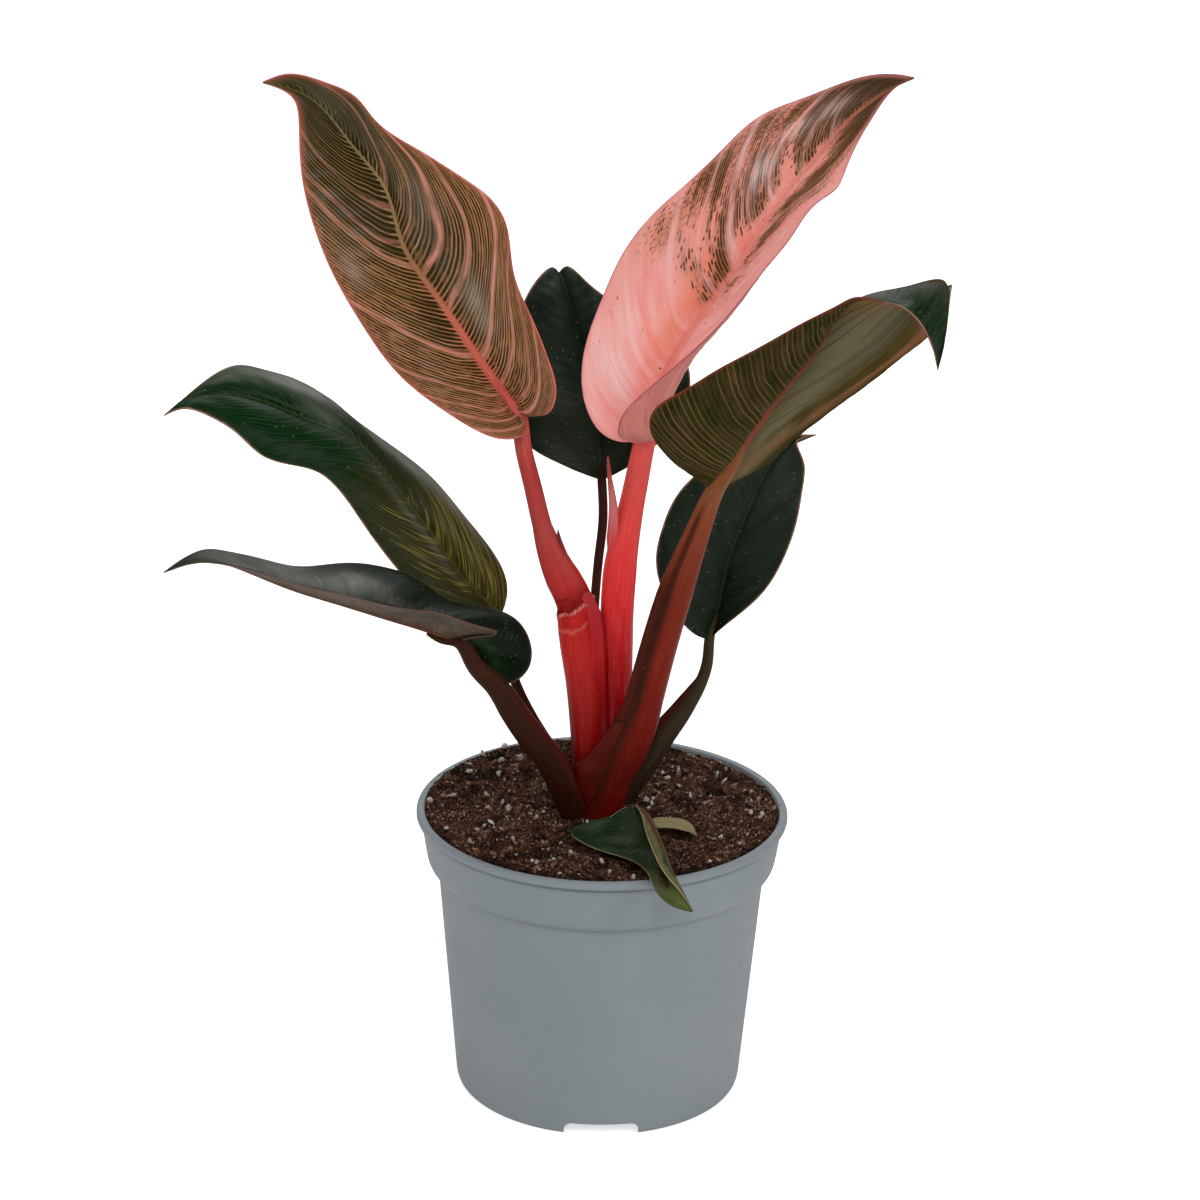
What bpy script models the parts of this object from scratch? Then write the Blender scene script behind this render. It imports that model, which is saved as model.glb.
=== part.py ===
"""A potted philodendron: a round plastic pot filled with soil, seven leaves on their stalks,
one new spike, and a small old leaf and a papery scrap that lie on the soil.
Lengths in the tables are millimetres. The pot's axis is Z and its foot stands at z = 0."""
import math
import bmesh
import bpy
import numpy as np

MM = 0.001
GAP = 0.3             # clearance between neighbouring pieces

# pot
RIM_RADIUS = 60.0
POT_HEIGHT = 95.1
WALL = 1.3
FLOOR_RAISE = 4.6     # the ring of floor with the drain holes stands this high
HUB_RADIUS = 23.0     # the floor's middle stands on the ground
DRAIN_HOLES = 6
DRAIN_RADIUS = 3.2
NOTCHES = 3
NOTCH_WIDTH = 24.0
NOTCH_HEIGHT = 4.4
POT_STEPS = 54

# soil
SOIL_EDGE = 91.6
SOIL_MOUND = 1.9
GRAINS = 26

# leaves
BLADE_THICKNESS = 0.8
RIB_THICKNESS = 2.4
ALONG = 17
ACROSS = (0.0, 0.10, 0.38, 0.70, 1.0)
KNUCKLE = 2.1         # radius of the swelling where the blade meets its stalk
SPREAD = 0.035        # the veins of the lobes leave the midrib within this share of its length

# stalks
STALK_RINGS = 13
STALK_SIDES = 10


def clearScene():
    for thing in list(bpy.data.objects):
        bpy.data.objects.remove(thing, do_unlink=True)
    for group in list(bpy.data.collections):
        bpy.data.collections.remove(group)


def newCollection(name):
    group = bpy.data.collections.new(name)
    bpy.context.scene.collection.children.link(group)
    return group


def material(name, colour, roughness):
    made = bpy.data.materials.new(name)
    made.use_nodes = True
    shader = made.node_tree.nodes["Principled BSDF"]
    shader.inputs["Base Color"].default_value = (*colour, 1.0)
    shader.inputs["Roughness"].default_value = roughness
    shader.inputs["Metallic"].default_value = 0.0
    made.diffuse_color = (*colour, 1.0)
    return made


def unit(vectors):
    return vectors / np.linalg.norm(vectors, axis=-1, keepdims=True)


def curveThrough(points, shares):
    """A smooth curve through the points, read at shares 0 to 1 of its length."""
    knots = np.array(points, float)
    count = len(knots)
    steps = np.linalg.norm(np.diff(knots, axis=0), axis=1)
    place = np.concatenate([[0.0], np.cumsum(steps)])
    place /= place[-1]
    gaps = np.diff(place)
    left = np.eye(count)
    right = np.zeros_like(knots)
    for i in range(1, count - 1):
        left[i, i - 1] = gaps[i - 1]
        left[i, i] = 2 * (gaps[i - 1] + gaps[i])
        left[i, i + 1] = gaps[i]
        right[i] = 6 * ((knots[i + 1] - knots[i]) / gaps[i] - (knots[i] - knots[i - 1]) / gaps[i - 1])
    bend = np.linalg.solve(left, right)
    at = np.asarray(shares, float)
    k = np.clip(np.searchsorted(place, at, side="right") - 1, 0, count - 2)
    span = gaps[k][:, None]
    ahead = (place[k + 1] - at)[:, None]
    behind = (at - place[k])[:, None]
    curved = (bend[k] * ahead**3 + bend[k + 1] * behind**3) / (6 * span)
    return (curved + (knots[k] / span - bend[k] * span / 6) * ahead
            + (knots[k + 1] / span - bend[k + 1] * span / 6) * behind)


def keyed(keys, shares):
    """Values between a few evenly spaced keys."""
    return np.interp(shares, np.linspace(0, 1, len(keys)), keys)


# Each blade has three rails: the midrib and the two margins, from the stalk's top to the tip.
# arch is how far each half bows toward the upper face, as a share of its width,
# near the base, in the middle and near the tip. lobes is the share of the margin behind the stalk.
# face is 1 where the photograph shows the blade from below, so that its midrib thickens toward the viewer.
LEAVES = {
    "leaf_1": dict(
        rib=[(-29, 18, 223), (-42, 27, 238), (-56, 38, 255), (-67, 48, 269), (-73, 58, 284),
             (-84, 66, 296), (-98, 72, 310), (-114, 75, 314)],
        left=[(-29, 18, 223), (-27, 9, 218), (-32, 8, 217), (-41, 9, 219), (-53, 13, 225),
              (-66, 20, 233), (-79, 30, 247), (-89, 40, 261), (-96, 48, 276), (-100, 56, 291),
              (-101, 63, 303), (-103, 69, 310), (-114, 75, 314)],
        right=[(-29, 18, 223), (-23, 11, 224), (-19, 8, 226), (-17, 10, 230), (-19, 16, 240),
               (-25, 25, 252), (-31, 34, 264), (-34, 43, 278), (-39, 49, 284), (-49, 54, 290),
               (-63, 60, 297), (-77, 66, 305), (-83, 70, 311), (-93, 73, 315), (-106, 75, 317),
               (-114, 75, 314)],
        archLeft=(0.25, 0.2, 0.1), archRight=(0.35, 0.3, 0.1), lobes=0.15, knuckle=2.6,
    ),
    "leaf_2": dict(
        rib=[(12, 14, 218), (15, 18, 229), (20, 23, 240), (28, 30, 251), (36, 37, 261), (43, 43, 270),
             (52, 50, 284), (63, 56, 296), (74, 61, 308), (85, 65, 316), (96, 68, 321)],
        left=[(12, 14, 218), (7, 11, 216), (-2, 9, 219), (-7, 11, 226), (-9, 16, 234), (-8, 22, 244),
              (-3, 31, 257), (3, 39, 269), (13, 46, 281), (24, 52, 290), (35, 57, 300), (46, 62, 309),
              (61, 65, 315), (75, 68, 320), (88, 69, 322), (96, 68, 321)],
        right=[(12, 14, 218), (7, 6, 218), (3, 1, 222), (4, 0, 228), (9, 1, 234), (19, 5, 242),
               (28, 10, 249), (39, 16, 260), (48, 23, 270), (56, 31, 278), (64, 39, 287), (71, 45, 291),
               (73, 49, 294), (77, 55, 302), (83, 61, 311), (91, 67, 319), (96, 68, 321)],
        archLeft=(0.2, 0.15, 0.1), archRight=(-1.1, -0.3, 0.0, 0.05), lobes=0.12,
    ),
    "leaf_3": dict(
        rib=[(-2, 34, 195), (-3, 41, 206), (-6, 51, 218), (-10, 63, 231), (-14, 75, 243), (-17, 86, 249),
             (-18, 96, 245)],
        left=[(-2, 34, 195), (-7, 30, 198), (-16, 30, 202), (-25, 33, 206), (-31, 38, 212),
              (-34, 46, 221), (-33, 56, 231), (-30, 66, 241), (-25, 76, 249), (-20, 86, 251),
              (-18, 96, 245)],
        right=[(-2, 34, 195), (2, 31, 198), (8, 31, 202), (16, 34, 208), (24, 39, 217), (26, 45, 225),
               (24, 53, 231), (14, 63, 237), (3, 73, 242), (-7, 80, 247), (-14, 87, 251),
               (-18, 96, 245)],
        archLeft=(0.2, 0.2, 0.1), archRight=(0.2, 0.2, 0.1), lobes=0.14,
    ),
    "leaf_4": dict(
        rib=[(33, -28, 214), (41, -38, 232), (51, -49, 252), (62, -62, 273), (69, -73, 288),
             (77, -81, 294), (85, -89, 294), (91, -93, 286), (94, -91, 273)],
        left=[(33, -28, 214), (26, -28, 219), (17, -28, 226), (13, -28, 232), (13, -30, 239),
              (21, -34, 247), (31, -41, 256), (44, -51, 267), (57, -63, 279), (66, -75, 288),
              (71, -84, 293), (78, -92, 294), (84, -97, 293), (89, -99, 288), (92, -96, 281),
              (94, -91, 273)],
        right=[(33, -28, 214), (37, -27, 214), (41, -25, 219), (51, -24, 225), (59, -24, 233),
               (66, -26, 240), (76, -33, 250), (87, -44, 263), (94, -55, 273), (97, -68, 286),
               (98, -80, 296), (97, -88, 294), (96, -93, 287), (95, -93, 279), (94, -91, 273)],
        archLeft=(0.1, 0.2, 0.4, 0.2), archRight=(0.2, 0.25, 0.1), lobes=0.14, face=1,
    ),
    "leaf_5": dict(
        rib=[(34, 30, 142), (37, 36, 152), (40, 43, 165), (45, 50, 177), (51, 57, 189), (58, 63, 197),
             (65, 67, 201)],
        left=[(34, 30, 142), (29, 27, 145), (24, 27, 150), (19, 30, 157), (16, 35, 168), (18, 41, 177),
              (22, 47, 185), (31, 53, 193), (43, 59, 198), (56, 64, 201), (65, 67, 201)],
        right=[(34, 30, 142), (39, 28, 148), (45, 29, 153), (52, 33, 159), (58, 39, 168), (62, 46, 178),
               (64, 53, 188), (64, 58, 195), (62, 63, 200), (65, 67, 201)],
        archLeft=(0.2, 0.15, 0.1), archRight=(0.2, 0.15, 0.1), lobes=0.06,
    ),
    "leaf_6": dict(
        rib=[(-34, 17, 154), (-44, 20, 163), (-54, 24, 176), (-64, 28, 188), (-72, 32, 198),
             (-82, 35, 207), (-98, 38, 213), (-114, 39, 219), (-127, 37, 221), (-137, 34, 219),
             (-143, 31, 215)],
        left=[(-34, 17, 154), (-41, 13, 153), (-49, 12, 157), (-60, 12, 164), (-69, 14, 173),
              (-78, 18, 184), (-86, 22, 194), (-93, 25, 199), (-102, 26, 201), (-111, 26, 204),
              (-119, 27, 211), (-128, 29, 216), (-136, 30, 218), (-143, 31, 215)],
        right=[(-34, 17, 154), (-32, 19, 159), (-32, 21, 164), (-36, 25, 172), (-46, 31, 183),
               (-57, 37, 194), (-69, 42, 202), (-82, 46, 210), (-94, 49, 218), (-102, 51, 222),
               (-112, 51, 225), (-120, 49, 227), (-128, 44, 225), (-137, 37, 219), (-143, 31, 215)],
        archLeft=(0.3, 0.25, 0.2), archRight=(0.5, 0.5, 0.3), lobes=0.08,
    ),
    "leaf_7": dict(
        rib=[(-47, -8, 155), (-55, -10, 159), (-68, -13, 164), (-83, -17, 170), (-99, -20, 176),
             (-112, -22, 182), (-123, -22, 185), (-138, -20, 180)],
        left=[(-47, -8, 155), (-40, -16, 160), (-34, -24, 164), (-41, -29, 168), (-51, -33, 173),
              (-63, -37, 176), (-78, -41, 181), (-94, -42, 185), (-108, -39, 188), (-118, -33, 188),
              (-127, -27, 186), (-138, -20, 180)],
        right=[(-47, -8, 155), (-42, -6, 150), (-37, -3, 143), (-30, 2, 137), (-25, 3, 141),
               (-24, 4, 149), (-28, 6, 156), (-40, 8, 160), (-51, 9, 162), (-59, 9, 168),
               (-69, 9, 172), (-83, 8, 174), (-97, 4, 174), (-109, -3, 179), (-120, -10, 184),
               (-126, -15, 186), (-132, -18, 184), (-138, -20, 180)],
        archLeft=(0.1, 0.1, 0.1), archRight=(0.3, 0.25, 0.1), lobes=0.2, face=1,
    ),
}

# The small old leaf lies on the soil with its tip over the rim, its right half folded back over it.
OLD_LEAF = dict(
    rib=[(10.9, -8, 99.1), (15.4, -19, 98.4), (18.2, -31.7, 98.2), (20.6, -45.3, 98.2), (22.4, -56.1, 98),
         (24.8, -64.9, 97), (28.9, -70, 91)],
    left=[(10.9, -8, 99.1), (6.4, -11.5, 99.8), (1.3, -14, 97.3), (-5.4, -17, 96.8), (-9.8, -20.3, 95),
          (-7.8, -26.5, 94.7), (-1.4, -33, 94.3), (5.9, -37.6, 94.1), (12.2, -48.8, 96.2),
          (15.2, -60.6, 97.2), (17.1, -67.5, 96), (21.4, -70.6, 93.5), (28.9, -70, 91)],
    right=[(10.9, -8, 99.1), (11.5, -12, 100.6), (12.4, -16.2, 101.2), (14.3, -32.1, 101.6),
           (16.1, -44.7, 101.6), (18.3, -56.3, 101.4), (21, -64.4, 100.4), (25.1, -68.1, 96.8),
           (28.9, -70, 91)],
    archLeft=(0.1, 0.1, 0.1), archRight=(-0.3, -0.4, -0.2), lobes=0.06,
    ribThickness=1.0, knuckle=1.7, rows=12,
)
SCRAP = dict(
    rib=[(15.5, -12.8, 94.9), (20.9, -11.6, 94.5), (26, -14.4, 94.9), (30.7, -21.4, 94.4)],
    left=[(15.5, -12.8, 94.9), (17.7, -8.6, 94.7), (21.9, -8.4, 94.8), (26.7, -10.8, 95),
          (28.9, -15, 94.9), (30.7, -21.4, 94.4)],
    right=[(15.5, -12.8, 94.9), (17.4, -16.2, 95), (21.8, -16.2, 94.8), (26, -17.3, 94.5),
           (28.9, -18.7, 94.4), (30.7, -21.4, 94.4)],
    archLeft=(0.3, 0.3, 0.2), archRight=(0.3, 0.3, 0.2), lobes=0.08,
    ribThickness=0.8, knuckle=0.9, rows=8, face=1,
)

# Each stalk's centre line from the soil up, with half its width across and through.
STALKS = {
    "stalk_2": dict(line=[(0, 4, 80), (1, 4, 94), (3, 4.5, 108), (4, 5.1, 123), (4, 6, 137), (3.6, 6.9, 150),
                          (3.7, 7.9, 164), (4.6, 8.9, 177), (6.7, 10.4, 190), (9.1, 12, 203), (12, 14, 218)],
                    across=(4.4, 4.8, 4.6, 5.3, 5.4, 4.0, 3.4), through=(4.2, 4.4, 4.6, 4.6, 4.2, 3.4, 3.0)),
    "stalk_1": dict(line=[(-3, 2, 80), (-3.2, 2.3, 104), (-4.7, 3, 124), (-5.9, 3.9, 137.6), (-8, 4.9, 151),
                          (-10.3, 6.8, 163.8), (-14, 8, 171), (-19.3, 10.5, 182.7), (-24.4, 14.2, 201.5),
                          (-27.4, 16.5, 214), (-29, 18, 223)],
                    across=(5.4, 6.0, 6.2, 6.4, 6.3, 5.7, 3.1, 2.8, 2.6),
                    through=(4.5, 4.8, 5.0, 5.2, 4.8, 4.2, 3.0, 2.7, 2.5)),
    "stalk_3": dict(line=[(-2, 8, 80), (-3, 11, 104), (-4, 17, 140), (-3.4, 22, 161), (-2.4, 26, 173),
                          (-1.4, 30, 184), (-2, 34, 195)],
                    across=(2.4, 2.2, 1.8, 1.5, 1.5, 1.5), through=(2.4, 2.2, 1.8, 1.5, 1.5, 1.5)),
    "stalk_4": dict(line=[(-1, -3, 80), (0.9, -4.6, 97), (2.6, -6.4, 107.3), (5, -7.9, 115), (7.9, -9.4, 122.5),
                          (10.7, -10.8, 130), (14.2, -13.8, 145), (17.4, -16.7, 160), (21, -19.5, 175),
                          (25, -22.3, 189), (29.2, -25.4, 203), (33, -28, 214)],
                    across=(5.0, 6.0, 7.8, 6.0, 5.8, 5.6, 4.2, 2.8),
                    through=(4.4, 5.2, 5.4, 4.8, 4.4, 4.0, 3.2, 2.6)),
    "stalk_6": dict(line=[(-5, 7, 80), (-9, 11, 96), (-16, 15, 107), (-24, 17, 120), (-29, 18, 131),
                          (-32, 18, 144), (-34, 17, 154)],
                    across=(2.6, 2.6, 2.4, 2.0, 1.7, 1.5, 1.4), through=(2.6, 2.6, 2.4, 2.0, 1.7, 1.5, 1.4)),
    "stalk_5": dict(line=[(4, 5, 80), (7, 7.5, 94), (11.5, 10.5, 101), (15.6, 13.4, 106.3), (19.5, 16.8, 112),
                          (24.1, 20.3, 117.5), (28.4, 23.4, 123.5), (32, 26, 130), (33.6, 28, 136), (34, 30, 142)],
                    across=(3.0, 3.2, 3.4, 3.4, 2.8, 2.0, 1.7), through=(3.0, 3.0, 3.0, 2.6, 2.2, 2.0, 1.7)),
    "stalk_7": dict(line=[(-6, -3, 80), (-8.9, -4, 95.5), (-11.8, -4.5, 103), (-16, -5.4, 112),
                          (-23.3, -7, 122.5), (-30, -8.6, 133.4), (-35, -9.5, 141), (-41.2, -9.7, 147.6),
                          (-47, -8, 155)],
                    across=(4.4, 5.0, 5.1, 4.7, 4.4, 3.2, 2.2), through=(4.2, 4.6, 4.6, 4.2, 3.4, 2.7, 2.2)),
}

NEW_LEAF = dict(line=[(1.4, 8, 175.5), (1.8, 7, 187.7), (1.7, 6.5, 196.3), (0.6, 6, 204.8), (-0.2, 6, 212.4)],
                across=(0.8, 1.9, 1.5, 0.9, 0.35), through=(0.8, 1.6, 1.3, 0.8, 0.35), tip=True)


def bladePoints(leaf, along, across, start=0.035):
    """Rows of points from the base to the tip, each row from the right margin to the left."""
    share = np.linspace(start, 1, along + 1)
    lobes = leaf["lobes"]
    fan = np.clip((share - start) / (lobes - start), 0, 1)
    root = SPREAD * fan + (1 - SPREAD) * np.clip((share - lobes) / (1 - lobes), 0, 1) ** 1.35
    ribLine = curveThrough(leaf["rib"], root)
    ahead = curveThrough(leaf["rib"], np.clip(root + 0.01, 0, 1))
    back = curveThrough(leaf["rib"], np.clip(root - 0.01, 0, 1))
    along3 = unit(ahead - back)
    rows = np.zeros((along + 1, 2 * len(across) - 1, 3))
    middle = len(across) - 1
    for side, rail, arch in ((1, "left", "archLeft"), (-1, "right", "archRight")):
        edge = curveThrough(leaf[rail], share)
        reach = edge - ribLine
        width = np.linalg.norm(reach, axis=1, keepdims=True)
        bow = side * np.cross(along3, reach) * keyed(leaf[arch], share)[:, None]
        pull = ribLine + reach / 2 + bow - along3 * width * 0.1
        for j, v in enumerate(across):
            rows[:, middle + side * j] = (1 - v) ** 2 * ribLine + 2 * v * (1 - v) * pull + v * v * edge
    return rows


def upperNormals(rows):
    """Directions out of the rails' far side, one for each point, evened out near the tip."""
    down = np.gradient(rows, axis=0)
    side = np.gradient(rows, axis=1)
    normals = np.cross(side, down)
    size = np.linalg.norm(normals, axis=2, keepdims=True)
    normals = normals / np.maximum(size, 1e-9) * (size > 1e-6)
    padded = np.pad(normals, ((1, 1), (1, 1), (0, 0)), mode="edge")
    normals = (2 * normals + padded[2:, 1:-1] + padded[:-2, 1:-1] + padded[1:-1, 2:] + padded[1:-1, :-2])
    normals = unit(normals + 1e-9)
    count = len(rows)
    for i in range(count):
        even = min(1.0, max(0.0, (i / (count - 1) - 0.72) / 0.2))
        mean = unit(normals[i].sum(axis=0))
        normals[i] = unit(normals[i] * (1 - even) + mean * even)
    return normals


def bladeMesh(name, leaf):
    """A thin closed solid: the blade's upper face, and below it a like face with a thicker midrib."""
    rows = bladePoints(leaf, leaf.get("rows", ALONG), ACROSS)
    count, wide = rows.shape[:2]
    middle = wide // 2
    thick = np.full((count, wide), BLADE_THICKNESS)
    taper = np.interp(np.arange(count) / (count - 1), (0, 0.2, 0.75, 1), (0.2, 1, 0.1, 0))
    thick[:, middle] += (leaf.get("ribThickness", RIB_THICKNESS) - BLADE_THICKNESS) * taper
    under = rows - upperNormals(rows) * thick[..., None] * leaf.get("face", -1)
    shape = bmesh.new()
    top = [[shape.verts.new(spot * MM) for spot in row] for row in rows]
    low = [[shape.verts.new(spot * MM) for spot in row] for row in under]
    for i in range(count - 1):
        for j in range(wide - 1):
            corners = ((i, j), (i, j + 1), (i + 1, j + 1), (i + 1, j))
            for a, b, c in ((0, 1, 2), (0, 2, 3)) if j < middle else ((0, 1, 3), (1, 2, 3)):
                shape.faces.new([top[corners[k][0]][corners[k][1]] for k in (a, b, c)])
                shape.faces.new([low[corners[k][0]][corners[k][1]] for k in (c, b, a)])
    border = [(0, j) for j in range(wide)] + [(i, wide - 1) for i in range(1, count)]
    border += [(count - 1, j) for j in range(wide - 2, -1, -1)] + [(i, 0) for i in range(count - 2, 0, -1)]
    for (i, j), (k, m) in zip(border, border[1:] + border[:1]):
        shape.faces.new((top[k][m], top[i][j], low[i][j]))
        shape.faces.new((top[k][m], low[i][j], low[k][m]))
    bmesh.ops.remove_doubles(shape, verts=shape.verts, dist=0.00002)
    bmesh.ops.dissolve_degenerate(shape, edges=shape.edges, dist=0.00002)
    bmesh.ops.recalc_face_normals(shape, faces=shape.faces)
    mesh = bpy.data.meshes.new(name)
    shape.to_mesh(mesh)
    shape.free()
    return bpy.data.objects.new(name, mesh)


def stalkRings(stalk, rings, extra=0.0):
    """The rings' centres and half axes. A stalk that carries a blade stops just short of it."""
    late = np.linspace(0.8, 1, 200)
    away = np.linalg.norm(curveThrough(stalk["line"], late) - stalk["line"][-1], axis=1)
    end = 1.0 if "tip" in stalk else late[away >= KNUCKLE + 1.3 * GAP - extra][-1]
    share = np.linspace(0, end, rings + 1)
    line = curveThrough(stalk["line"], share)
    way = unit(np.gradient(line, axis=0))
    line[0] -= way[0] * extra
    across = unit(np.cross(way, (0.0, 1.0, 0.0)))
    through = np.cross(way, across)
    wide = keyed(stalk["across"], share) + extra
    deep = keyed(stalk["through"], share) + extra
    return line, across * wide[:, None], through * deep[:, None]


def stalkMesh(name, stalk, extra=0.0, rings=STALK_RINGS, sides=STALK_SIDES):
    """A loft of ellipses along the stalk, closed at both ends."""
    line, across, through = stalkRings(stalk, rings, extra)
    shape = bmesh.new()
    loops = []
    for i in range(rings + 1):
        loop = []
        for k in range(sides):
            turn = 2 * math.pi * k / sides
            spot = line[i] + across[i] * math.cos(turn) + through[i] * math.sin(turn)
            loop.append(shape.verts.new(spot * MM))
        loops.append(loop)
    for low, high in zip(loops, loops[1:]):
        for k in range(sides):
            n = (k + 1) % sides
            shape.faces.new((low[k], low[n], high[n], high[k]))
    shape.faces.new(loops[0])
    shape.faces.new(loops[-1])
    bmesh.ops.recalc_face_normals(shape, faces=shape.faces)
    bmesh.ops.triangulate(shape, faces=shape.faces)
    mesh = bpy.data.meshes.new(name)
    shape.to_mesh(mesh)
    shape.free()
    return bpy.data.objects.new(name, mesh)


def asCutter(made, cutters):
    cutters.objects.link(made)
    made.hide_render = True
    made.display_type = "WIRE"
    return made


def cut(made, cutter, operation="DIFFERENCE", crossed=False):
    trim = made.modifiers.new("cut", "BOOLEAN")
    trim.operation = operation
    trim.solver = "EXACT"
    trim.use_self = crossed
    trim.object = cutter


def knuckle(leaf):
    """The small round swelling at the blade's base, which also closes the folds that meet there."""
    bpy.ops.mesh.primitive_ico_sphere_add(
        subdivisions=2, radius=leaf.get("knuckle", KNUCKLE) * MM,
        location=[MM * c for c in leaf["rib"][0]])
    ball = bpy.context.object
    bpy.context.scene.collection.objects.unlink(ball)
    return ball


def largestPiece(made):
    """Bakes the modifiers and keeps the largest loose piece."""
    bpy.context.view_layer.update()
    baked = bpy.data.meshes.new_from_object(made.evaluated_get(bpy.context.evaluated_depsgraph_get()))
    made.modifiers.clear()
    shape = bmesh.new()
    shape.from_mesh(baked)
    bmesh.ops.remove_doubles(shape, verts=shape.verts, dist=0.00001)
    bmesh.ops.dissolve_degenerate(shape, edges=shape.edges, dist=0.00001)
    bmesh.ops.triangulate(shape, faces=shape.faces)
    unseen = set(shape.faces)
    groups = []
    while unseen:
        group = [unseen.pop()]
        for face in group:
            for edge in face.edges:
                for other in edge.link_faces:
                    if other in unseen:
                        unseen.discard(other)
                        group.append(other)
        groups.append(group)
    groups.sort(key=len)
    for group in groups[:-1]:
        bmesh.ops.delete(shape, geom=group, context="FACES")
    shape.to_mesh(baked)
    shape.free()
    made.data = baked
    return made


def turned(name, profile, steps):
    """A profile of (radius, height) turned about Z."""
    mesh = bpy.data.meshes.new(name)
    spots = [(r * MM, 0.0, z * MM) for r, z in profile]
    mesh.from_pydata(spots, [(i, i + 1) for i in range(len(spots) - 1)], [])
    made = bpy.data.objects.new(name, mesh)
    screw = made.modifiers.new("turn", "SCREW")
    screw.steps = steps
    screw.render_steps = steps
    screw.use_merge_vertices = True
    screw.merge_threshold = 0.00001
    return made


def bodyRadius(z):
    """Outside of the tapered wall below the band."""
    return 46.4 + 0.0858 * z


def potProfile():
    wallFoot = bodyRadius(FLOOR_RAISE) - WALL
    wallTop = bodyRadius(76) - WALL
    inside = [(0, 1.5), (HUB_RADIUS - 1.6, 1.5), (HUB_RADIUS + 1.0, FLOOR_RAISE + 1.5),
              (wallFoot, FLOOR_RAISE + 1.5), (wallTop, 75.8), (54.3, 78.6), (56.0, 90.6), (57.4, 94.8)]
    lip = [(58.3, POT_HEIGHT), (59.6, POT_HEIGHT - 0.1), (RIM_RADIUS, POT_HEIGHT - 0.8),
           (RIM_RADIUS, POT_HEIGHT - 2.1), (59.4, POT_HEIGHT - 2.7), (58.0, POT_HEIGHT - 3.0)]
    band = [(56.4, 79.2), (55.4, 77.4), (53.8, 76.9), (bodyRadius(76) + 0.1, 76.0)]
    foot = [(bodyRadius(1.6), 1.6), (45.5, 0), (44.1, 0), (44.1, FLOOR_RAISE),
            (HUB_RADIUS + 1.6, FLOOR_RAISE), (HUB_RADIUS, 0), (0, 0)]
    return inside + lip + band + foot


def buildPot(cutters):
    pot = turned("pot", potProfile(), POT_STEPS)
    for i in range(DRAIN_HOLES):
        turn = 2 * math.pi * (i + 0.5) / DRAIN_HOLES
        bpy.ops.mesh.primitive_cylinder_add(
            vertices=12, radius=DRAIN_RADIUS * MM, depth=0.006,
            location=(0.034 * math.cos(turn), 0.034 * math.sin(turn), 0.0055))
        hole = bpy.context.object
        hole.name = "drain_cutter_%d" % i
        bpy.context.scene.collection.objects.unlink(hole)
        cut(pot, asCutter(hole, cutters))
    for i in range(NOTCHES):
        turn = -math.pi / 2 + math.radians(2) + 2 * math.pi * i / NOTCHES
        half = NOTCH_WIDTH / 2
        outline = [(-half, -1.0), (half, -1.0), (half, 1.2), (half - 0.8, 3.2), (half - 2.6, NOTCH_HEIGHT),
                   (2.6 - half, NOTCH_HEIGHT), (0.8 - half, 3.2), (-half, 1.2)]
        shape = bmesh.new()
        near = [shape.verts.new((x * MM, 0.041, z * MM)) for x, z in outline]
        face = shape.faces.new(near)
        grown = bmesh.ops.extrude_face_region(shape, geom=[face])
        moved = [v for v in grown["geom"] if isinstance(v, bmesh.types.BMVert)]
        bmesh.ops.translate(shape, verts=moved, vec=(0, 0.010, 0))
        bmesh.ops.recalc_face_normals(shape, faces=shape.faces)
        mesh = bpy.data.meshes.new("notch_cutter_%d" % i)
        shape.to_mesh(mesh)
        shape.free()
        notch = bpy.data.objects.new(mesh.name, mesh)
        notch.rotation_euler.z = turn - math.pi / 2
        cut(pot, asCutter(notch, cutters))
    return pot


def soilHeight(x, y):
    r = math.hypot(x, y)
    crumbs = (0.35 * math.sin(0.41 * x + 0.3 * y) + 0.3 * math.sin(0.23 * x - 0.52 * y + 1.1)
              + 0.25 * math.sin(0.9 * x + 2.0) * math.cos(0.8 * y))
    return SOIL_EDGE + SOIL_MOUND * (1 - (r / 56) ** 2) + crumbs * min(1.0, (56 - r) / 6)


def buildSoil(spaces):
    """Fills the pot; its top is gently heaped and lumpy, with some larger grains standing up."""
    around = 34
    rings = [8, 16, 24, 32, 40, 47, 52.5, 55.7]
    inner = [(54.2, 79.2), (51.25, 76.0), (45.15, FLOOR_RAISE + 1.9),
             (HUB_RADIUS + 0.7, FLOOR_RAISE + 1.9), (HUB_RADIUS - 2.1, 1.9)]
    draw = np.random.default_rng(7)
    raised = {(int(draw.integers(1, 7)), int(draw.integers(0, around))) for _ in range(GRAINS)}
    shape = bmesh.new()
    loops = []
    for i, r in enumerate(rings):
        loop = []
        for k in range(around):
            turn = 2 * math.pi * (k + 0.5 * (i % 2)) / around
            x, y = r * math.cos(turn), r * math.sin(turn)
            lift = 0.9 if (i, k) in raised and r > 16 else 0.0
            loop.append(shape.verts.new((x * MM, y * MM, (soilHeight(x, y) + lift) * MM)))
        loops.append(loop)
    for r, z in inner:
        loops.append([shape.verts.new((r * MM * math.cos(2 * math.pi * k / around),
                                       r * MM * math.sin(2 * math.pi * k / around), z * MM))
                      for k in range(around)])
    for low, high in zip(loops, loops[1:]):
        for k in range(around):
            n = (k + 1) % around
            shape.faces.new((low[k], high[k], high[n], low[n]))
    for loop, z in ((loops[0], soilHeight(0, 0)), (loops[-1], 1.9)):
        centre = shape.verts.new((0, 0, z * MM))
        for k in range(around):
            shape.faces.new((loop[k], loop[(k + 1) % around], centre))
    bmesh.ops.recalc_face_normals(shape, faces=shape.faces)
    bmesh.ops.triangulate(shape, faces=shape.faces)
    mesh = bpy.data.meshes.new("soil")
    shape.to_mesh(mesh)
    shape.free()
    soil = bpy.data.objects.new("soil", mesh)
    for space in spaces.values():
        cut(soil, space)
    return soil


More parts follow.
